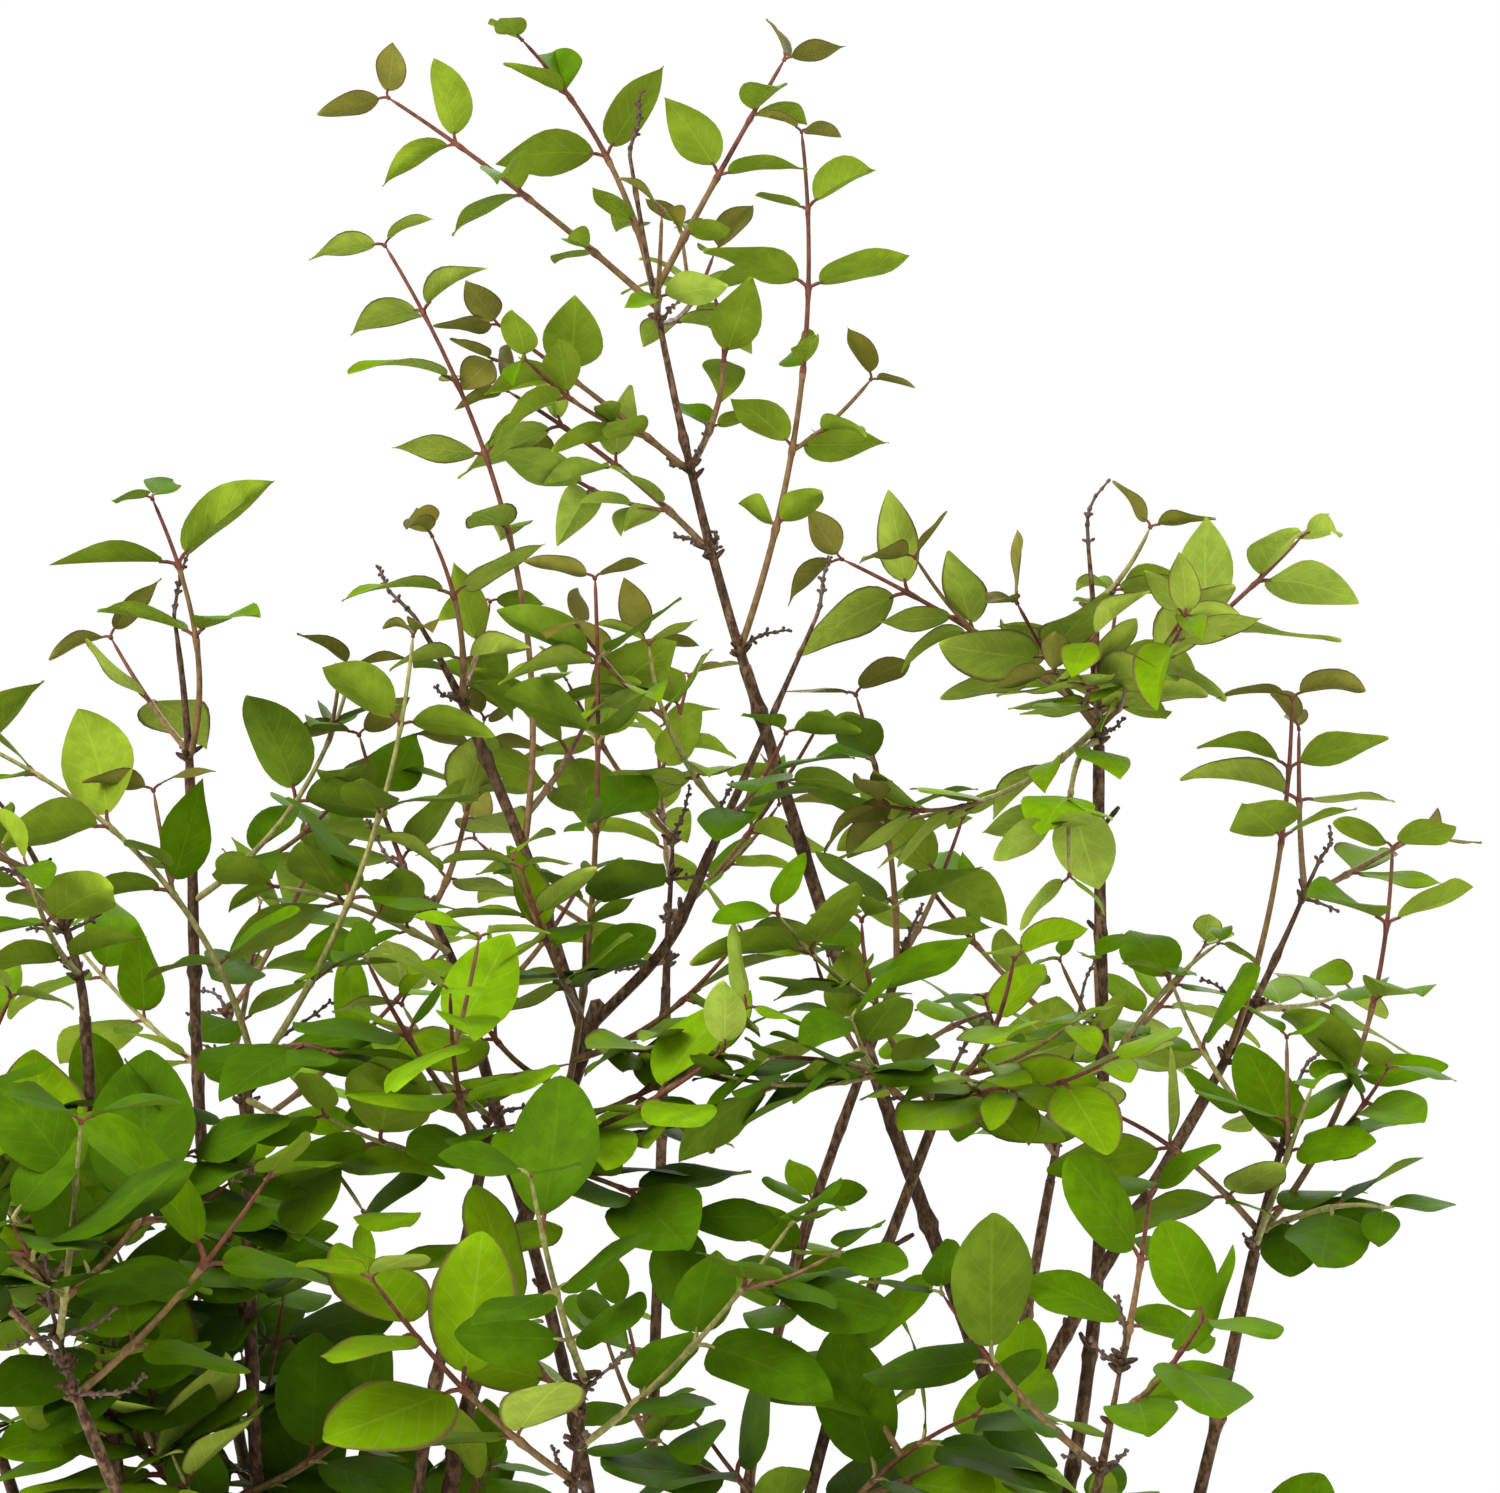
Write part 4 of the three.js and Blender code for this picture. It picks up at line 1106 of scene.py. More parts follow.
def leaf_points(grown, leaves):
    """The points of all the leaves given: the sheet above, the sheet beneath, the foot and the tip."""
    keys = ("base", "along", "face", "length", "shape")
    base, along, face, length, shape = (np.array([getattr(leaf, key) for leaf in grown]) for key in keys)
    wide, blunt, fold, droop, wave, twist = shape.T
    side = np.cross(along, face)
    v = np.concatenate((ROWS, (0.0, 1.0)))
    high = np.clip((base[:, 2] - BROAD_BELOW) / POINTED_RISE, 0, 1)
    half = half_widths(v, wide, blunt, high, length * leaves.width_share)
    bend = (leaves.droop * between(DROOPS, droop) * between(DROOP_BY_HEIGHT, high))[:, None] * v[None]
    # The midrib bends as an arc does, by the first terms of how far out and down its points lie
    out = length[:, None] * v[None] * (1 - bend**2 / 6)
    drop = length[:, None] * v[None] * bend / 2
    curl = between(TWISTS, twist)[:, None] * v[None]
    up = leaves.fold * between(FOLDS, fold) * between(FOLD_BY_HEIGHT, high)
    u = COLUMNS[None, None]
    ripple = np.sin(2 * math.pi * (v[None] * RIPPLES + wave[:, None]))[:, :, None]
    ripple = ripple * np.where(u > 0, RIPPLE_SIDES[1], RIPPLE_SIDES[0]) * u**2
    ripple = ripple * (leaves.ripple * length)[:, None, None]
    over = np.abs(u) * (half * np.sin(up)[:, None])[:, :, None]
    over = over - u**2 * (half * CUPPING)[:, :, None] + ripple
    across = u * (half * np.cos(up)[:, None])[:, :, None]

    def spread(array):
        return array[:, None, None, :]

    turn_cos, turn_sin = np.cos(curl)[:, :, None, None], np.sin(curl)[:, :, None, None]
    bend_cos, bend_sin = np.cos(bend)[:, :, None, None], np.sin(bend)[:, :, None, None]
    normal = spread(face) * bend_cos + spread(along) * bend_sin
    reach = spread(side) * turn_cos + normal * turn_sin
    normal = normal * turn_cos - spread(side) * turn_sin
    centre = spread(base) + spread(along) * out[:, :, None, None] - spread(face) * drop[:, :, None, None]
    middle = centre + reach * across[..., None] + normal * over[..., None]
    thick = normal * (leaves.thickness / MM / 2 * (1 - u**2))[..., None]
    rows = len(ROWS)
    above = (middle + thick)[:, :rows].reshape(len(grown), -1, 3)
    below = (middle - thick)[:, :rows, 1:-1].reshape(len(grown), -1, 3)
    ends = middle[:, rows:, len(COLUMNS) // 2]
    return np.concatenate((above, below, ends), axis=1)


def leaf_map():
    """Where each point of a leaf lies on it: its share of the way across and of the way along."""
    along, across = np.meshgrid(ROWS, COLUMNS, indexing="ij")
    across_all = np.concatenate((across.ravel(), across[:, 1:-1].ravel(), (0, 0)))
    along_all = np.concatenate((along.ravel(), along[:, 1:-1].ravel(), (0, 1)))
    return np.stack(((across_all + 1) / 2, along_all), axis=1)


def make_leaves(name, grown, leaves, finishes):
    """All the leaves of one tint, joined, with the places on each leaf as its UV map."""
    places, where = leaf_points(grown, leaves), leaf_map()
    triangles, sheets = leaf_faces()
    faces = triangles[None] + np.arange(len(grown))[:, None, None] * places.shape[1]
    mesh = bpy.data.meshes.new(name)
    mesh.from_pydata((places.reshape(-1, 3) * MM).tolist(), [], faces.reshape(-1, 3).tolist())
    mesh.polygons.foreach_set("material_index", np.tile(sheets, len(grown)).astype(np.int32))
    corners = np.empty(len(mesh.loops), np.int32)
    mesh.loops.foreach_get("vertex_index", corners)
    uv_map = mesh.uv_layers.new(name="leaf")
    uv_map.uv.foreach_set("vector", where[corners % places.shape[1]].astype(np.float32).ravel())
    standing_for(shown(name, mesh, finishes, LEAF_SHARP), "foliage", *MASS_NODES)


# Pot and compost

POT_SIDES = 128
POT_WALL = 2.6
POT_TAPER = 30
POT_SHARP = 35
FOOT_ROUND = 3
GROOVE_HEIGHTS = (14, 17, 60, 110, 160)
GROOVE_UNDER_RIM = 14
GROOVE_DEPTH = 0.35
GROOVE_STEPS = (0.5, 1.7, 2.2)
INNER_BEND = 60
INNER_FOOT = (4, 2)

# The rim band: its height, how far it stands proud, and the steps under it and on it, each as a
# height from its edge and how far out it is
RIM_HEIGHT = 22
RIM_PROUD = 3.4
RIM_UNDER = ((-0.6, -0.2), (0, 0.5))
RIM_CORNER = 1.3
RIM_STEP = ((-12, -0.1), (-11, -0.5))
LIP_ROUND = 1.9
EDGE_ROUND = 1.2

DRAIN_HOLES = 6
DRAIN_RADIUS = 7
DRAIN_CIRCLE = 66
DRAIN_SIDES = 28
DRILL_HEIGHTS = (-8, -2, 3, 9)


def lathed(profile, sides):
    """A profile of radius and height turned about the upright axis, as points and faces."""
    angles = np.arange(sides) * 2 * math.pi / sides
    spokes = np.stack((np.cos(angles), np.sin(angles)), axis=1)
    points, faces, ends = [], [], []
    for radius, height in profile:
        if radius == 0:
            ends.append(len(points))
            points.append((0, 0, height))
            continue
        points += [(radius * x, radius * y, height) for x, y in spokes]
    bottom, top = ends
    rings = range(1, top - sides, sides)
    for j in range(sides):
        k = (j + 1) % sides
        faces.append((bottom, 1 + k, 1 + j))
        faces += [(a + j, a + k, a + sides + k, a + sides + j) for a in rings]
        faces.append((top - sides + j, top - sides + k, top))
    return points, faces


def round_corner(centre, radius, start, end, steps=5):
    """The points of a rounded corner, by angles in degrees."""
    angles = np.radians(np.linspace(start, end, steps))
    return [(centre[0] + radius * math.cos(a), centre[1] + radius * math.sin(a)) for a in angles]


def make_pot(finish):
    """A thin moulded pot with a rolled rim band, fine steps in its wall and drain holes."""
    height, rim = POT_TOP.z / MM, POT_TOP.x / MM
    top_radius = rim - RIM_PROUD
    foot_radius = top_radius - POT_TAPER

    def wall_at(z):
        return foot_radius + (top_radius - foot_radius) * z / height

    band = height - RIM_HEIGHT
    profile = [(0, 0), *round_corner((foot_radius - FOOT_ROUND, FOOT_ROUND), FOOT_ROUND, -90, -8)]
    for z in (*GROOVE_HEIGHTS, band - GROOVE_UNDER_RIM):
        low, high, end = (z + step for step in GROOVE_STEPS)
        floor = wall_at(z) - GROOVE_DEPTH
        profile += [(wall_at(z), z), (floor, low), (floor, high), (wall_at(end), end)]
    profile += [(wall_at(band) + out, band + up) for up, out in RIM_UNDER]
    corner = (wall_at(band) + RIM_PROUD - RIM_CORNER, band + RIM_CORNER)
    profile += round_corner(corner, EDGE_ROUND, -90, -10)
    profile += [(wall_at(height + up) + RIM_PROUD + out, height + up) for up, out in RIM_STEP]
    profile += round_corner((rim - LIP_ROUND, height - LIP_ROUND), LIP_ROUND, 0, 90)
    edge = (top_radius - POT_WALL + EDGE_ROUND, height - EDGE_ROUND)
    profile += round_corner(edge, EDGE_ROUND, 90, 175)
    inner = foot_radius - POT_WALL
    profile += [(wall_at(INNER_BEND) - POT_WALL, INNER_BEND), (inner, INNER_FOOT[0])]
    profile += [(inner - INNER_FOOT[1], POT_WALL), (0, POT_WALL)]
    parts = Parts()
    parts.add(*lathed(profile, POT_SIDES))
    pot = parts.made("pot_shell", [finish], POT_SHARP)
    drill_holes(pot)
    standing_for(pot, "pot", "pot")


def drill_holes(pot):
    """Cuts a ring of drain holes through the pot's floor."""
    drills = Parts()
    for i in range(DRAIN_HOLES):
        angle = (i + 0.5) * 2 * math.pi / DRAIN_HOLES
        centre = np.array((math.cos(angle), math.sin(angle), 0)) * DRAIN_CIRCLE
        places = centre + np.outer(DRILL_HEIGHTS, (0, 0, 1))
        drills.add(*rings_along(places, np.full(len(places), DRAIN_RADIUS), DRAIN_SIDES))
    drill = drills.made("drain_drills", [])
    cut = pot.modifiers.new("drain holes", "BOOLEAN")
    cut.operation, cut.solver, cut.object = "DIFFERENCE", "EXACT", drill
    bpy.context.view_layer.update()
    cut_mesh = bpy.data.meshes.new_from_object(pot.evaluated_get(bpy.context.evaluated_depsgraph_get()))
    pot.modifiers.clear()
    pot.data = cut_mesh
    bpy.data.objects.remove(drill)


BED_RINGS = 46
BED_SIDES = 120
BED_TAPER = 27.6
BED_EDGE = 4
CLOD_SCALE = 0.03
CLOD_SLICE = 0.4
CLODS = ((1, 2.2), (3.7, 1.6), (11, 0.9))

CHIPS = 1500
CHIP_SEED = 11
CHIP_SIZES = (2.2, 8.5)
CHIP_SMALLNESS = 2.4
CHIP_CORNERS = (0.62, 1.25)
CHIP_WIDTHS = (0.35, 0.9)
CHIP_THICKNESS = 0.3
CHIP_SLOPE = 0.35
CHIP_LIFT = 0.2
CHIP_MARGIN = 5
CHIP_SHARP = 30


def bed_height(x, y):
    """How far the compost stands above its level at a place, in millimetres."""
    place = Vector((x * CLOD_SCALE, y * CLOD_SCALE, CLOD_SLICE))
    return sum(noise.noise(place * scale) * height for scale, height in CLODS)


def make_compost(finish):
    """The compost in the pot, with an uneven, crumbly top."""
    level, foot = COMPOST_TOP.z / MM, COMPOST_FOOT.z / MM
    top_radius = COMPOST_TOP.x / MM
    profile = [(0, foot), (top_radius - BED_TAPER, foot), (top_radius, level - BED_EDGE)]
    profile += [(top_radius * (1 - i / BED_RINGS), level) for i in range(BED_RINGS)] + [(0, level)]
    points, faces = lathed(profile, BED_SIDES)
    points = [(x, y, z + bed_height(x, y) if z == level else z) for x, y, z in points]
    parts = Parts()
    parts.add(points, faces)
    standing_for(parts.made("compost_bed", [finish]), "compost", "compost")


def make_chips(finishes):
    """Chips of bark and crumbs that lie on the compost, flat and at every angle."""
    parts = Parts()
    level, reach = COMPOST_TOP.z / MM, COMPOST_TOP.x / MM - CHIP_MARGIN
    corners = np.array([(x, y, z) for z in (-1, 1) for y in (-1, 1) for x in (-1, 1)], float)
    faces = [(0, 2, 3, 1), (4, 5, 7, 6), (0, 1, 5, 4), (2, 6, 7, 3), (0, 4, 6, 2), (1, 3, 7, 5)]
    rng = np.random.default_rng(CHIP_SEED)
    for _ in range(CHIPS):
        size = between(CHIP_SIZES, rng.random() ** CHIP_SMALLNESS) / 2
        chip = corners * rng.uniform(*CHIP_CORNERS, corners.shape)
        chip = chip * (size, size * rng.uniform(*CHIP_WIDTHS), size * CHIP_THICKNESS)
        chip[:, 2] += chip[:, :2] @ rng.normal(0, CHIP_SLOPE, 2)
        spin = rng.uniform(0, 2 * math.pi)
        cos, sin = math.cos(spin), math.sin(spin)
        chip = chip @ np.array(((cos, sin, 0), (-sin, cos, 0), (0, 0, 1)))
        angle, radius = rng.uniform(0, 2 * math.pi), reach * math.sqrt(rng.random())
        x, y = radius * math.cos(angle), radius * math.sin(angle)
        z = level + bed_height(x, y) + CHIP_LIFT * size
        parts.add(chip + (x, y, z), faces, rng.integers(len(finishes)))
    standing_for(parts.made("compost_chips", finishes, CHIP_SHARP), "compost")


# Finishes. A grain is its scale per metre, its detail and how many times finer it is along Z. A fade
# is the values at which it starts and ends, and what it goes from and to where that isn't 0 and 1. A
# wear is a fade and how far it changes the roughness. A relief is its strength and depth in metres.

GRAIN_ROUGHNESS = 0.6
LEAF_GLOSS = 0.015
BARK_GLOSS = 0.12
BARK_ROUGHNESS = 0.56
SPIKE_ROUGHNESS = 0.8
SPIKE_STREAKS = 2.2
SHOOT_ROUGHNESS = 0.46
COMPOST_ROUGHNESS = 0.95
CHIP_ROUGHNESS = 0.85
CHIP_TONES = {"dark_chips": 0.55, "bark_chips": 1.0, "pale_chips": 1.7}
FLOOR_ROUGHNESS = 0.7
WHITE = (1, 1, 1, 1)

# The sockets of a Mix node that mixes colours
MIX_FACTOR, MIX_A, MIX_B, MIX_RESULT = 0, 6, 7, 2


class Finish:
    """A material with its shader and its roughness, and short ways to add nodes to it."""

    def __init__(self, name, roughness, gloss=0.5):
        self.material = bpy.data.materials.new(name)
        self.material.use_nodes = True
        self.nodes = self.material.node_tree.nodes
        self.links = self.material.node_tree.links
        self.shader = self.nodes["Principled BSDF"]
        self.roughness = roughness
        self.shader.inputs["Roughness"].default_value = roughness
        self.shader.inputs["Specular IOR Level"].default_value = gloss

    def add(self, kind, inputs, **values):
        node = self.nodes.new(kind)
        for key, value in values.items():
            setattr(node, key, value)
        for key, value in inputs.items():
            if isinstance(value, bpy.types.NodeSocket):
                self.links.new(value, node.inputs[key])
            else:
                node.inputs[key].default_value = value
        return node

    def math(self, operation, a, b=0.0):
        return self.add("ShaderNodeMath", {0: a, 1: b}, operation=operation).outputs[0]

    def fade(self, value, low, high, first=0.0, last=1.0):
        """Runs smoothly from first to last as the value goes from low to high."""
        inputs = {"Value": value, "From Min": low, "From Max": high, "To Min": first, "To Max": last}
        return self.add("ShaderNodeMapRange", inputs, interpolation_type="SMOOTHSTEP").outputs[0]

    def mixed(self, factor, a, b):
        """The colour a, or b where the factor is 1."""
        inputs = {MIX_FACTOR: factor, MIX_A: a, MIX_B: b}
        return self.add("ShaderNodeMix", inputs, data_type="RGBA").outputs[MIX_RESULT]

    def grain(self, scale, detail, finer=None):
        """A noise in the object's own space, which may be finer along Z, or coarser below 1."""
        place = self.add("ShaderNodeTexCoord", {}).outputs["Object"]
        if finer:
            place = self.add("ShaderNodeMapping", {"Vector": place, "Scale": (1, 1, finer)}).outputs[0]
        inputs = {"Vector": place, "Scale": scale, "Detail": detail, "Roughness": GRAIN_ROUGHNESS}
        return self.add("ShaderNodeTexNoise", inputs).outputs[0]

    def bump(self, height, strength, distance):
        inputs = {"Height": height, "Strength": strength, "Distance": distance}
        self.links.new(self.add("ShaderNodeBump", inputs).outputs[0], self.shader.inputs["Normal"])

    def colour(self, socket):
        self.links.new(socket, self.shader.inputs["Base Color"])

    def wear(self, value, low, high, *changes):
        """Changes the roughness as a value goes from low to high."""
        worn = self.fade(value, low, high, *(self.roughness + change for change in changes))
        self.links.new(worn, self.shader.inputs["Roughness"])


def shade(colour, amount):
    """The colour made lighter above 1 and darker below."""
    return (*(min(1.0, c * amount) for c in colour[:3]), 1.0)


# The pattern of a leaf. The rib, the ends of the side veins and the edge are fades from the midrib
# outwards, by shares of the leaf's width, and the dark foot, a painted shade near the stalk, is one along
# the leaf.
RIB = (0.008, 0.032, 1.0, 0.0)
SIDE_VEINS = 7.0
VEIN_SLANT = 0.62
VEIN = (0.02, 0.11, 1.0, 0.0)
VEIN_ENDS = (0.3, 0.5, 0.62, 0.0)
MOTTLE_GRAIN = (130.0, 3.0)
MOTTLE_FADE = (0.32, 0.68)
MOTTLE_TONES = (0.86, 1.18)
PATCH_GRAIN = (34.0, 1.0)
PATCH_FADE = (0.38, 0.62, 0.0, 0.5)
# Painted shade: the dark foot darkens each leaf towards its stalk, in the same darker tone as the random
# patches.
PATCH_AND_SHADE_TONE = 0.66
PAINTED_SHADE_FOOT = (0.0, 0.6, 0.4, 0.0)
EDGE = (0.42, 0.485, 0.0, 0.85)
EDGED_TINTS = ("bronze", "fresh")
QUILT_GRAIN = (900.0, 2.0)
QUILT_DEPTH = 0.15
LEAF_WEAR = (0.3, 0.7, -0.07, 0.08)
LEAF_RELIEF = (0.22, 0.0004)

# The roughness of either side and how far its veins stand out
UPPER_SIDE = (0.58, 0.16)
UNDERSIDE = (0.68, 0.34)
VEIN_TONE = 1.4


def leaf_finish(name, colour, vein_colour, roughness, vein_strength, edge_colour=None):
    """A leaf's surface with its midrib, side veins and soft mottling, and painted shade that makes it
    darker near its foot.
    """
    finish = Finish(name, roughness, LEAF_GLOSS)
    uv = finish.add("ShaderNodeUVMap", {}, uv_map="leaf").outputs[0]
    across, along, _ = finish.add("ShaderNodeSeparateXYZ", {0: uv}).outputs
    off = finish.math("ABSOLUTE", finish.math("SUBTRACT", across, 0.5))
    rib = finish.fade(off, *RIB)
    slant = finish.math("SUBTRACT", along, finish.math("MULTIPLY", off, VEIN_SLANT))
    cycle = finish.math("FRACT", finish.math("MULTIPLY", slant, SIDE_VEINS))
    from_vein = finish.math("ABSOLUTE", finish.math("SUBTRACT", cycle, 0.5))
    side_veins = finish.math("MULTIPLY", finish.fade(from_vein, *VEIN), finish.fade(off, *VEIN_ENDS))
    veins = finish.math("MAXIMUM", rib, side_veins)
    mottle = finish.grain(*MOTTLE_GRAIN)
    tones = (shade(colour, tone) for tone in MOTTLE_TONES)
    base = finish.mixed(finish.fade(mottle, *MOTTLE_FADE), *tones)
    patches = finish.fade(finish.grain(*PATCH_GRAIN), *PATCH_FADE)
    # Random dark patches and the painted shade at the leaf's foot, mixed in one darker tone.
    dark = finish.math("ADD", patches, finish.fade(along, *PAINTED_SHADE_FOOT))
    base = finish.mixed(dark, base, shade(colour, PATCH_AND_SHADE_TONE))
    base = finish.mixed(finish.math("MULTIPLY", veins, vein_strength), base, shade(vein_colour, 1.0))
    if edge_colour:
        base = finish.mixed(finish.fade(off, *EDGE), base, shade(edge_colour, 1.0))
    finish.colour(base)
    finish.wear(mottle, *LEAF_WEAR)
    quilting = finish.math("MULTIPLY", finish.grain(*QUILT_GRAIN), QUILT_DEPTH)
    finish.bump(finish.math("SUBTRACT", quilting, veins), *LEAF_RELIEF)
    return finish.material


STREAK_GRAIN = (560.0, 5.0, 0.5)
STREAK_FADE = (0.38, 0.66)
DULL_GRAIN = (70.0, 3.0, 0.6)
DULL_FADE = (0.35, 0.62, 0.0, 0.6)
DULL_TONE = 0.75
SPECK_GRAIN = (1500.0, 2.0, 0.6)
SPECK_FADE = (0.6, 0.7, 0.0, 0.85)
SPECK_TONE = 0.45
SPECK_DEPTH = 0.4
BARK_WEAR = (0.3, 0.7, 0.12, -0.1)
BARK_RELIEF = (0.6, 0.0007)


def bark_finish(name, dark, light, roughness):
    """Thin bark: dark brown with long tan streaks and small dark specks."""
    finish = Finish(name, roughness, BARK_GLOSS)
    streaks = finish.grain(*STREAK_GRAIN)
    dull = finish.grain(*DULL_GRAIN)
    streaky = finish.mixed(finish.fade(streaks, *STREAK_FADE), shade(dark, 1.0), shade(light, 1.0))
    patchy = finish.mixed(finish.fade(dull, *DULL_FADE), streaky, shade(dark, DULL_TONE))
    specks = finish.fade(finish.grain(*SPECK_GRAIN), *SPECK_FADE)
    finish.colour(finish.mixed(specks, patchy, shade(dark, SPECK_TONE)))
    finish.wear(streaks, *BARK_WEAR)
    height = finish.math("SUBTRACT", streaks, finish.math("MULTIPLY", specks, SPECK_DEPTH))
    finish.bump(height, *BARK_RELIEF)
    return finish.material


SKIN_GRAIN = (500.0, 3.0, 0.5)
SKIN_FADE = (0.36, 0.64)
SKIN_TONES = (0.72, 1.2)
SKIN_RELIEF = (0.25, 0.0003)


def shoot_finish(name, colour, roughness):
    """The skin of a green or red shoot, faintly streaked along its length."""
    finish = Finish(name, roughness, BARK_GLOSS)
    streaks = finish.grain(*SKIN_GRAIN)
    tones = (shade(colour, tone) for tone in SKIN_TONES)
    finish.colour(finish.mixed(finish.fade(streaks, *SKIN_FADE), *tones))
    finish.bump(streaks, *SKIN_RELIEF)
    return finish.material


DUST_COLOUR = (0.15, 0.13, 0.11, 1)
DUST_GRAIN = (26.0, 5.0, 0.6)
DUST_FADE = (0.5, 0.78, 0.0, 0.3)
SCUFF_GRAIN = (240.0, 4.0, 7.0)
SCUFF_FADE = (0.62, 0.74, 0.0, 0.35)
SCUFF_TONE = 2.4
PIT_GRAIN = (2600.0, 2.0)
PLASTIC_WEAR = (0.35, 0.7, -0.08, 0.2)
PLASTIC_RELIEF = (0.22, 0.0003)


def plastic_finish(name, colour, roughness):
    """Matt moulded plastic, finely pitted, with faint dust and scuffs."""
    finish = Finish(name, roughness)
    dust = finish.grain(*DUST_GRAIN)
    scuffs = finish.grain(*SCUFF_GRAIN)
    dusty = finish.mixed(finish.fade(dust, *DUST_FADE), shade(colour, 1.0), DUST_COLOUR)
    scuffed = finish.mixed(finish.fade(scuffs, *SCUFF_FADE), dusty, shade(colour, SCUFF_TONE))
    finish.colour(scuffed)
    finish.wear(dust, *PLASTIC_WEAR)
    finish.bump(finish.grain(*PIT_GRAIN), *PLASTIC_RELIEF)
    return finish.material


LUMP_GRAIN = (320.0, 6.0)
LUMP_FADE = (0.36, 0.66)
LUMP_TONES = (0.45, 1.5)
FIBRE_GRAIN = (1400.0, 3.0)
FIBRE_FADE = (0.58, 0.72, 0.0, 0.5)
FIBRE_TONE = 2.6
COMPOST_RELIEF = (0.9, 0.0022)


def compost_finish(name, colour, roughness):
    """Dark crumbs of compost or bark."""
    finish = Finish(name, roughness)
    lumps = finish.grain(*LUMP_GRAIN)
    fibres = finish.grain(*FIBRE_GRAIN)
    tones = (shade(colour, tone) for tone in LUMP_TONES)
    crumbs = finish.mixed(finish.fade(lumps, *LUMP_FADE), *tones)
    finish.colour(finish.mixed(finish.fade(fibres, *FIBRE_FADE), crumbs, shade(colour, FIBRE_TONE)))
    finish.bump(lumps, *COMPOST_RELIEF)
    return finish.material


FLOOR_GRAIN = (3.0, 2.0)
FLOOR_TONES = (0.985, 1.0)
FLOOR_FADE = (1.0, 3.2)


def floor_finish(colour, roughness):
    """A pale floor that fades to the white of the room round it."""
    finish = Finish("studio_floor", roughness)
    near = finish.mixed(finish.grain(*FLOOR_GRAIN), *(shade(colour, tone) for tone in FLOOR_TONES))
    place = finish.add("ShaderNodeTexCoord", {}).outputs["Object"]
    away = finish.add("ShaderNodeVectorMath", {0: place}, operation="LENGTH").outputs["Value"]
    finish.colour(finish.mixed(finish.fade(away, *FLOOR_FADE), near, WHITE))
    return finish.material


def colour_property(name, colour, description):
    return FloatVectorProperty(
        name=name, description=description, subtype="COLOR", size=3, min=0, max=1, default=colour
    )


def number_property(name, default, limits, description, **kind):
    return FloatProperty(
        name=name, description=description, default=default, min=limits[0], max=limits[1], **kind
    )


METRES = {"unit": "LENGTH", "precision": 5}
SHARE = {"subtype": "FACTOR"}
ANGLE = {"subtype": "ANGLE"}
WATTS = {"unit": "POWER"}
MOST_WATTS = 1000


class PotSettings(PropertyGroup):
    pot_colour: colour_property("Pot colour", (0.03, 0.032, 0.034), "Colour of the moulded plastic")
    pot_roughness: number_property("Pot roughness", 0.5, (0, 1), "How matt the plastic is", **SHARE)
    compost_colour: colour_property("Compost colour", (0.04, 0.024, 0.014), "Colour of the compost")
    chip_colour: colour_property("Chip colour", (0.12, 0.068, 0.036), "Colour of the bark chips")


class CaneSettings(PropertyGroup):
    bark_dark: colour_property("Dark bark", (0.042, 0.02, 0.0095), "Colour of the bark in its furrows")
    bark_light: colour_property("Light bark", (0.172, 0.1, 0.05), "Colour of the streaks on the bark")
    spike_colour: colour_property("Dry spikes", (0.085, 0.055, 0.04), "Colour of the fruit spikes")
    relief: number_property("Relief", 0.1, (0, 0.4), "Of the bark, as a share of the radius", **SHARE)


class ShootSettings(PropertyGroup):
    pair_spacing: number_property("Pair spacing", 0.027, (0.01, 0.1), "Of leaves on a shoot", **METRES)
    sprig_spacing: number_property("Sprig spacing", 0.021, (0.008, 0.1), "Of leaves on a sprig", **METRES)
    thickness: number_property("Thickness", 0.0025, (0.001, 0.006), "Of a shoot's foot", **METRES)
    sprig_thickness: number_property(
        "Sprig thickness", 0.0017, (0.0005, 0.004), "Of a sprig's foot", **METRES
    )
    tip_thickness: number_property("Tip thickness", 0.0012, (0.0005, 0.003), "Of both tips", **METRES)
    tan: colour_property("Tan", (0.168, 0.098, 0.038), "Colour of a shoot at its foot")
    reddish: colour_property("Reddish", (0.13, 0.044, 0.025), "Colour of young shoots and leaf stalks")
    pale: colour_property("Pale", (0.235, 0.215, 0.07), "Colour of a pale green shoot")


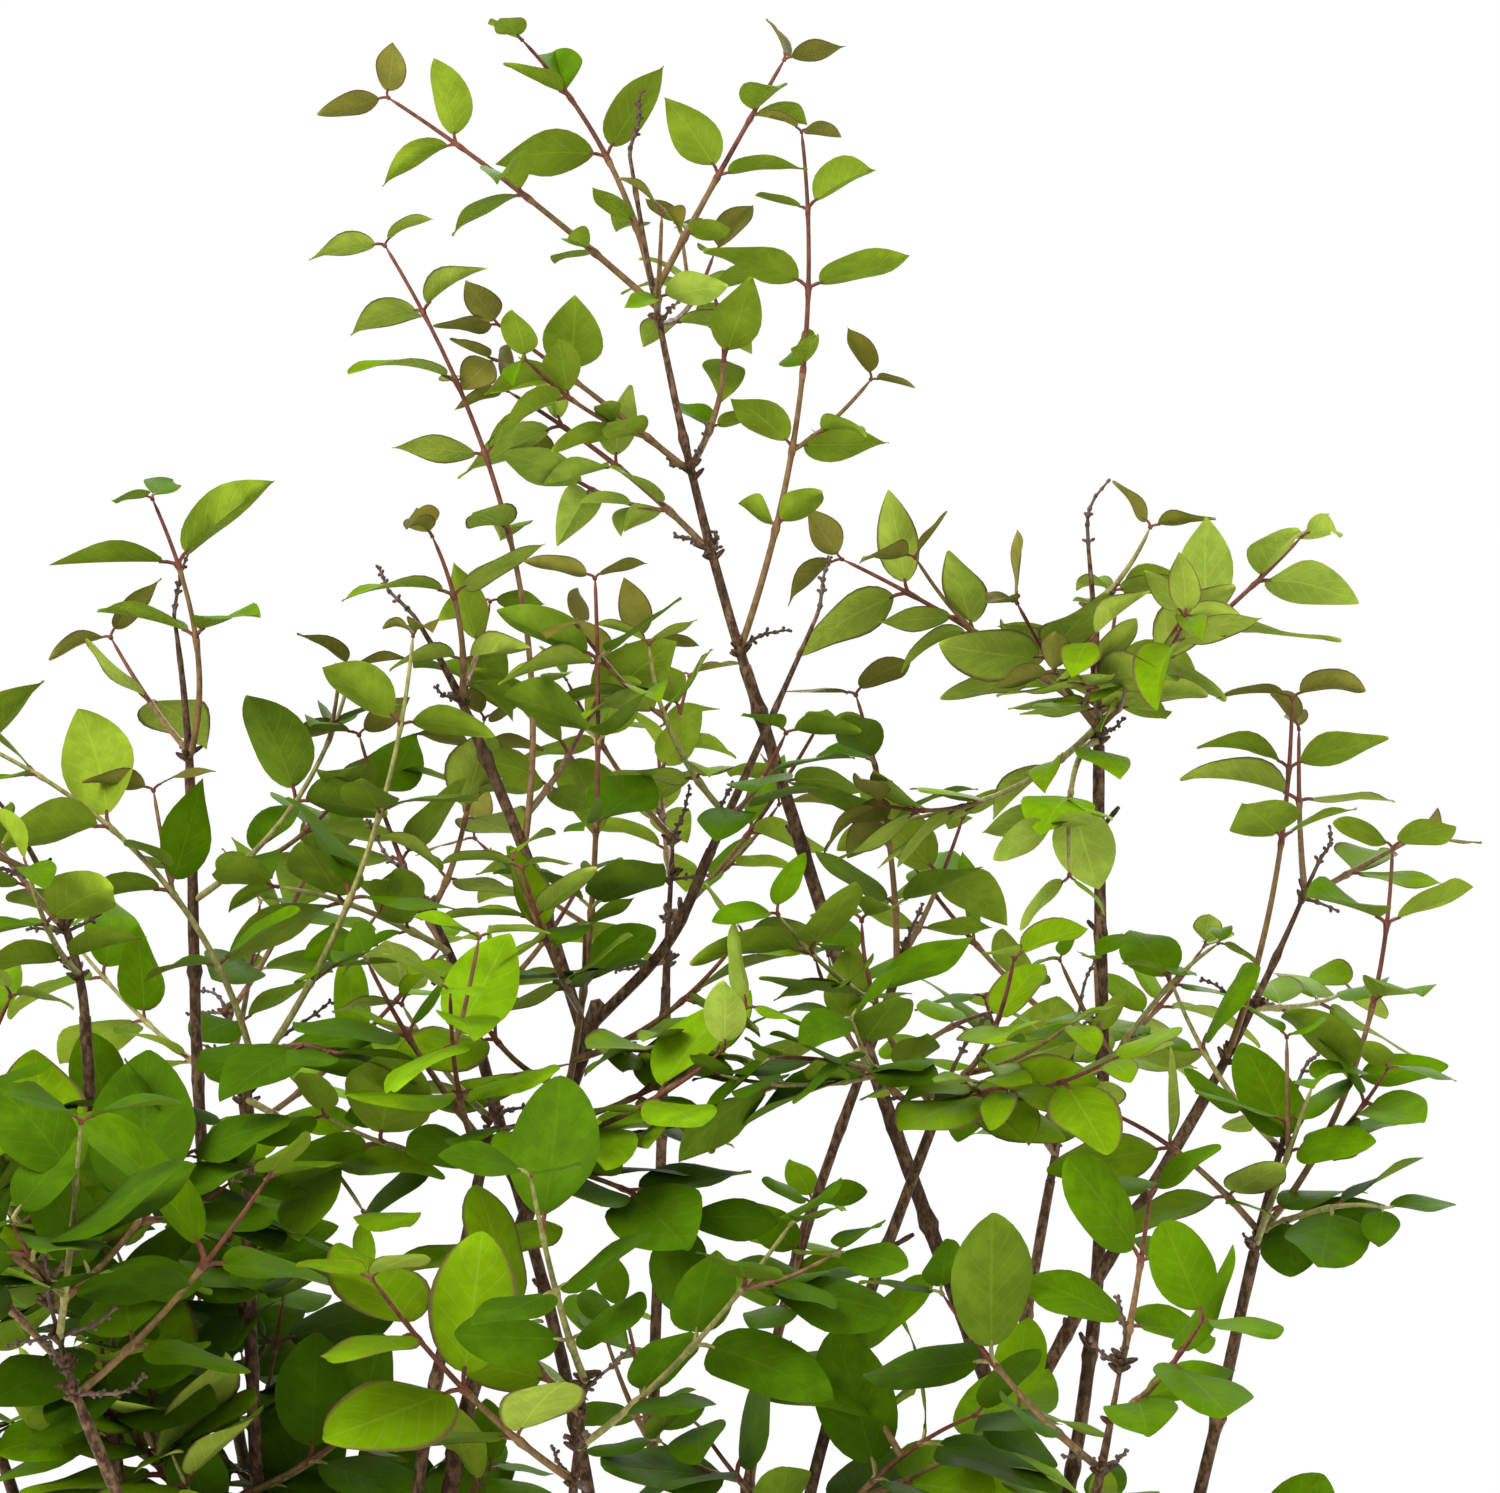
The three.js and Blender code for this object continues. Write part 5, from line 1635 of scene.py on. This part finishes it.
class LeafSettings(PropertyGroup):
    length: number_property("Length", 0.035, (0.01, 0.08), "Of a full-grown leaf", **METRES)
    width_share: number_property("Width", 0.66, (0.2, 1), "As a share of the length", **SHARE)
    thickness: number_property("Thickness", 0.00028, (0.0001, 0.001), "Of the blade", **METRES)
    stalk: number_property("Stalk", 0.15, (0, 0.5), "As a share of the leaf's length", **SHARE)
    fold: number_property("Fold", 0.5, (0, 1.2), "How far each half is raised on the midrib", **ANGLE)
    droop: number_property("Droop", 0.62, (0, 2), "How far the blade bends down to its tip", **ANGLE)
    ripple: number_property("Ripple", 0.025, (0, 0.1), "Of the edge, as a share of the length", **SHARE)
    # Painted shade: the darker colours of a leaf in shade, on both its sides, dealt most to the low
    # sprays.
    deep: colour_property("Deep", (0.05, 0.112, 0.0015), "Upper side of a shaded leaf")
    deep_under: colour_property("Deep beneath", (0.112, 0.182, 0.011), "Underside of a shaded leaf")
    mid: colour_property("Mid", (0.081, 0.171, 0.001), "Upper side of most leaves")
    mid_under: colour_property("Mid beneath", (0.192, 0.27, 0.018), "Underside of most leaves")
    fresh: colour_property("Fresh", (0.138, 0.248, 0.002), "Upper side of a fresh leaf")
    fresh_under: colour_property("Fresh beneath", (0.282, 0.368, 0.045), "Underside of a fresh leaf")
    # Painted light: the brighter colours of a leaf with light shining through it, on both its sides, dealt
    # most to the high sprays.
    sunlit: colour_property("Sunlit", (0.155, 0.292, 0.003), "Upper side of a leaf with light through it")
    sunlit_under: colour_property("Sunlit beneath", (0.305, 0.402, 0.052), "Its underside")
    bronze: colour_property("Bronze", (0.112, 0.105, 0.012), "Upper side of a young leaf at a tip")
    bronze_under: colour_property("Bronze beneath", (0.185, 0.178, 0.03), "Its underside")
    edge: colour_property("Edge", (0.11, 0.055, 0.03), "Dark edge of a young leaf")


class StageSettings(PropertyGroup):
    floor_colour: colour_property("Floor", (0.86, 0.86, 0.85), "Colour of the floor")
    world_strength: number_property("World", 1.0, (0, 4), "Strength of the white light all round")
    key_power: number_property("Key light", 80, (0, MOST_WATTS), "At the upper left", **WATTS)
    fill_power: number_property("Fill light", 14, (0, MOST_WATTS), "On the right", **WATTS)
    back_power: number_property("Back light", 44, (0, MOST_WATTS), "Behind the shrub", **WATTS)
    lens: number_property("Lens", 108, (20, 300), "Focal length", unit="CAMERA")


class SnowberrySettings(PropertyGroup):
    pot: PointerProperty(type=PotSettings)
    canes: PointerProperty(type=CaneSettings)
    shoots: PointerProperty(type=ShootSettings)
    leaves: PointerProperty(type=LeafSettings)
    stage: PointerProperty(type=StageSettings)


class SNOWBERRY_OT_pot(Operator):
    """Make the moulded pot round its solid"""

    bl_idname = "snowberry.pot"
    bl_label = "Pot"

    def execute(self, context):
        pot = context.scene.snowberry.pot
        make_pot(plastic_finish("matt_plastic", pot.pot_colour, pot.pot_roughness))
        return {"FINISHED"}


class SNOWBERRY_OT_compost(Operator):
    """Fill the pot with compost and lay chips of bark on it"""

    bl_idname = "snowberry.compost"
    bl_label = "Compost"

    def execute(self, context):
        pot = context.scene.snowberry.pot
        make_compost(compost_finish("compost", pot.compost_colour, COMPOST_ROUGHNESS))
        colours = ((name, shade(pot.chip_colour, tone)) for name, tone in CHIP_TONES.items())
        make_chips([compost_finish(name, colour, CHIP_ROUGHNESS) for name, colour in colours])
        return {"FINISHED"}


class SNOWBERRY_OT_canes(Operator):
    """Give the canes, the boughs and the woody stems their bark and dry spikes"""

    bl_idname = "snowberry.canes"
    bl_label = "Canes"

    def execute(self, context):
        settings = context.scene.snowberry
        canes = settings.canes
        limbs, twigs, _ = grow_shrub(settings)
        bark = bark_finish("cane_bark", canes.bark_dark, canes.bark_light, BARK_ROUGHNESS)
        make_canes(limbs, twigs, bark, canes.relief)
        streaks = shade(canes.spike_colour, SPIKE_STREAKS)
        dry = bark_finish("dry_spike", canes.spike_colour, streaks, SPIKE_ROUGHNESS)
        make_spikes(twigs, dry)
        return {"FINISHED"}


class SNOWBERRY_OT_shoots(Operator):
    """Grow the leafy shoots, their sprigs and the leaf stalks"""

    bl_idname = "snowberry.shoots"
    bl_label = "Shoots"

    def execute(self, context):
        settings = context.scene.snowberry
        shoots = settings.shoots
        _, twigs, grown = grow_shrub(settings)
        colours = {"tan_shoot": shoots.tan, "red_shoot": shoots.reddish, "pale_shoot": shoots.pale}
        finishes = [shoot_finish(name, colour, SHOOT_ROUGHNESS) for name, colour in colours.items()]
        make_shoots(twigs, finishes)
        make_stalks(grown, finishes)
        return {"FINISHED"}


class SNOWBERRY_OT_leaves(Operator):
    """Grow the leaves, each tint as one piece"""

    bl_idname = "snowberry.leaves"
    bl_label = "Leaves"

    def execute(self, context):
        settings = context.scene.snowberry
        leaves = settings.leaves
        grown = grow_shrub(settings)[2]
        for tint, name in enumerate(TINTS):
            above, beneath = getattr(leaves, name), getattr(leaves, f"{name}_under")
            edge = leaves.edge if name in EDGED_TINTS else None
            finishes = [
                leaf_finish(f"{name}_leaf", above, beneath, *UPPER_SIDE, edge),
                leaf_finish(f"{name}_leaf_beneath", beneath, shade(beneath, VEIN_TONE), *UNDERSIDE, edge),
            ]
            own = [leaf for leaf in grown if leaf.tint == tint]
            make_leaves(f"{name}_leaves", own, leaves, finishes)
        return {"FINISHED"}


class SNOWBERRY_OT_stage(Operator):
    """Lay the pale floor, set the soft lights and point the camera as the photograph does"""

    bl_idname = "snowberry.stage"
    bl_label = "Stage"

    def execute(self, context):
        settings = context.scene.snowberry.stage
        make_floor(settings)
        make_lights(context.scene, settings)
        make_camera(context.scene, settings.lens)
        return {"FINISHED"}


# The stage. The floor is in millimetres, and the camera and the lights are in metres.
FLOOR_RADIUS = 3600
FLOOR_FOOT, FLOOR_TOP = -0.6, -0.1
FLOOR_SIDES = 96
CAMERA_PLACE = Vector((0.0367, -1.5, 0.64))
CAMERA_AIM = Vector((0.0367, 0, 0.7112))
SENSOR = 36

# Each light's name, its setting, its size and its place
LIGHTS = (
    ("key_light", "key_power", 1.8, (-1.5, -1.5, 2.0)),
    ("fill_light", "fill_power", 1.8, (1.9, -1.1, 1.1)),
    ("back_light", "back_power", 1.6, (0.5, 1.9, 1.9)),
)
LIGHTS_AIM = Vector((0, 0, 0.6))


def make_floor(settings):
    """A wide round floor, whose colour fades to white so that no hard line shows."""
    rim = ((FLOOR_RADIUS, FLOOR_FOOT), (FLOOR_RADIUS, FLOOR_TOP))
    profile = ((0, FLOOR_FOOT), *rim, (0, FLOOR_TOP))
    parts = Parts()
    parts.add(*lathed(profile, FLOOR_SIDES))
    parts.made("studio_floor", [floor_finish(settings.floor_colour, FLOOR_ROUGHNESS)])


def point_at(holder, place, aim):
    """Puts a light or camera at a place, turned towards its aim, and links it."""
    holder.location = place
    holder.rotation_euler = (aim - holder.location).to_track_quat("-Z", "Y").to_euler()
    bpy.context.scene.collection.objects.link(holder)


def make_lights(scene, settings):
    """A white room, a large key light at the upper left, a fill on the right and one behind."""
    for name, setting, size, place in LIGHTS:
        light = bpy.data.lights.new(name, "AREA")
        light.energy, light.shape, light.size = getattr(settings, setting), "DISK", size
        point_at(bpy.data.objects.new(name, light), place, LIGHTS_AIM)
    world = bpy.data.worlds.new("white_room")
    world.use_nodes = True
    background = world.node_tree.nodes["Background"]
    background.inputs["Color"].default_value = WHITE
    background.inputs["Strength"].default_value = settings.world_strength
    scene.world = world
    scene.view_settings.view_transform = "Standard"


def make_camera(scene, lens):
    """A long lens a little below the crown's middle, which looks slightly up at it."""
    camera = bpy.data.cameras.new("photo_camera")
    camera.lens, camera.sensor_width = lens, SENSOR
    scene.camera = bpy.data.objects.new("photo_camera", camera)
    point_at(scene.camera, CAMERA_PLACE, CAMERA_AIM)


class SNOWBERRY_PT_panel(Panel):
    """The snowberry's sizes and colours, and the pieces to make"""

    bl_idname = "SNOWBERRY_PT_panel"
    bl_label = "Potted Snowberry"
    bl_space_type = "VIEW_3D"
    bl_region_type = "UI"
    bl_category = "Snowberry"

    def draw(self, context):
        settings = context.scene.snowberry
        for name in ("pot", "canes", "shoots", "leaves", "stage"):
            box = self.layout.box()
            box.label(text=name.capitalize())
            group = getattr(settings, name)
            for key in group.bl_rna.properties.keys():
                if key not in ("rna_type", "name"):
                    box.prop(group, key)
        for operator in OPERATORS:
            self.layout.operator(operator.bl_idname)


GROUPS = (PotSettings, CaneSettings, ShootSettings, LeafSettings, StageSettings, SnowberrySettings)
OPERATORS = (
    SNOWBERRY_OT_pot,
    SNOWBERRY_OT_compost,
    SNOWBERRY_OT_canes,
    SNOWBERRY_OT_shoots,
    SNOWBERRY_OT_leaves,
    SNOWBERRY_OT_stage,
)


def register():
    for kind in (*GROUPS, *OPERATORS, SNOWBERRY_PT_panel):
        bpy.utils.register_class(kind)
    bpy.types.Scene.snowberry = PointerProperty(type=SnowberrySettings)


def unregister():
    del bpy.types.Scene.snowberry
    for kind in reversed((*GROUPS, *OPERATORS, SNOWBERRY_PT_panel)):
        bpy.utils.unregister_class(kind)


def main():
    register()
    bpy.ops.snowberry.pot()
    bpy.ops.snowberry.compost()
    bpy.ops.snowberry.canes()
    bpy.ops.snowberry.shoots()
    bpy.ops.snowberry.leaves()
    bpy.ops.snowberry.stage()


if __name__ == "__main__":
    main()
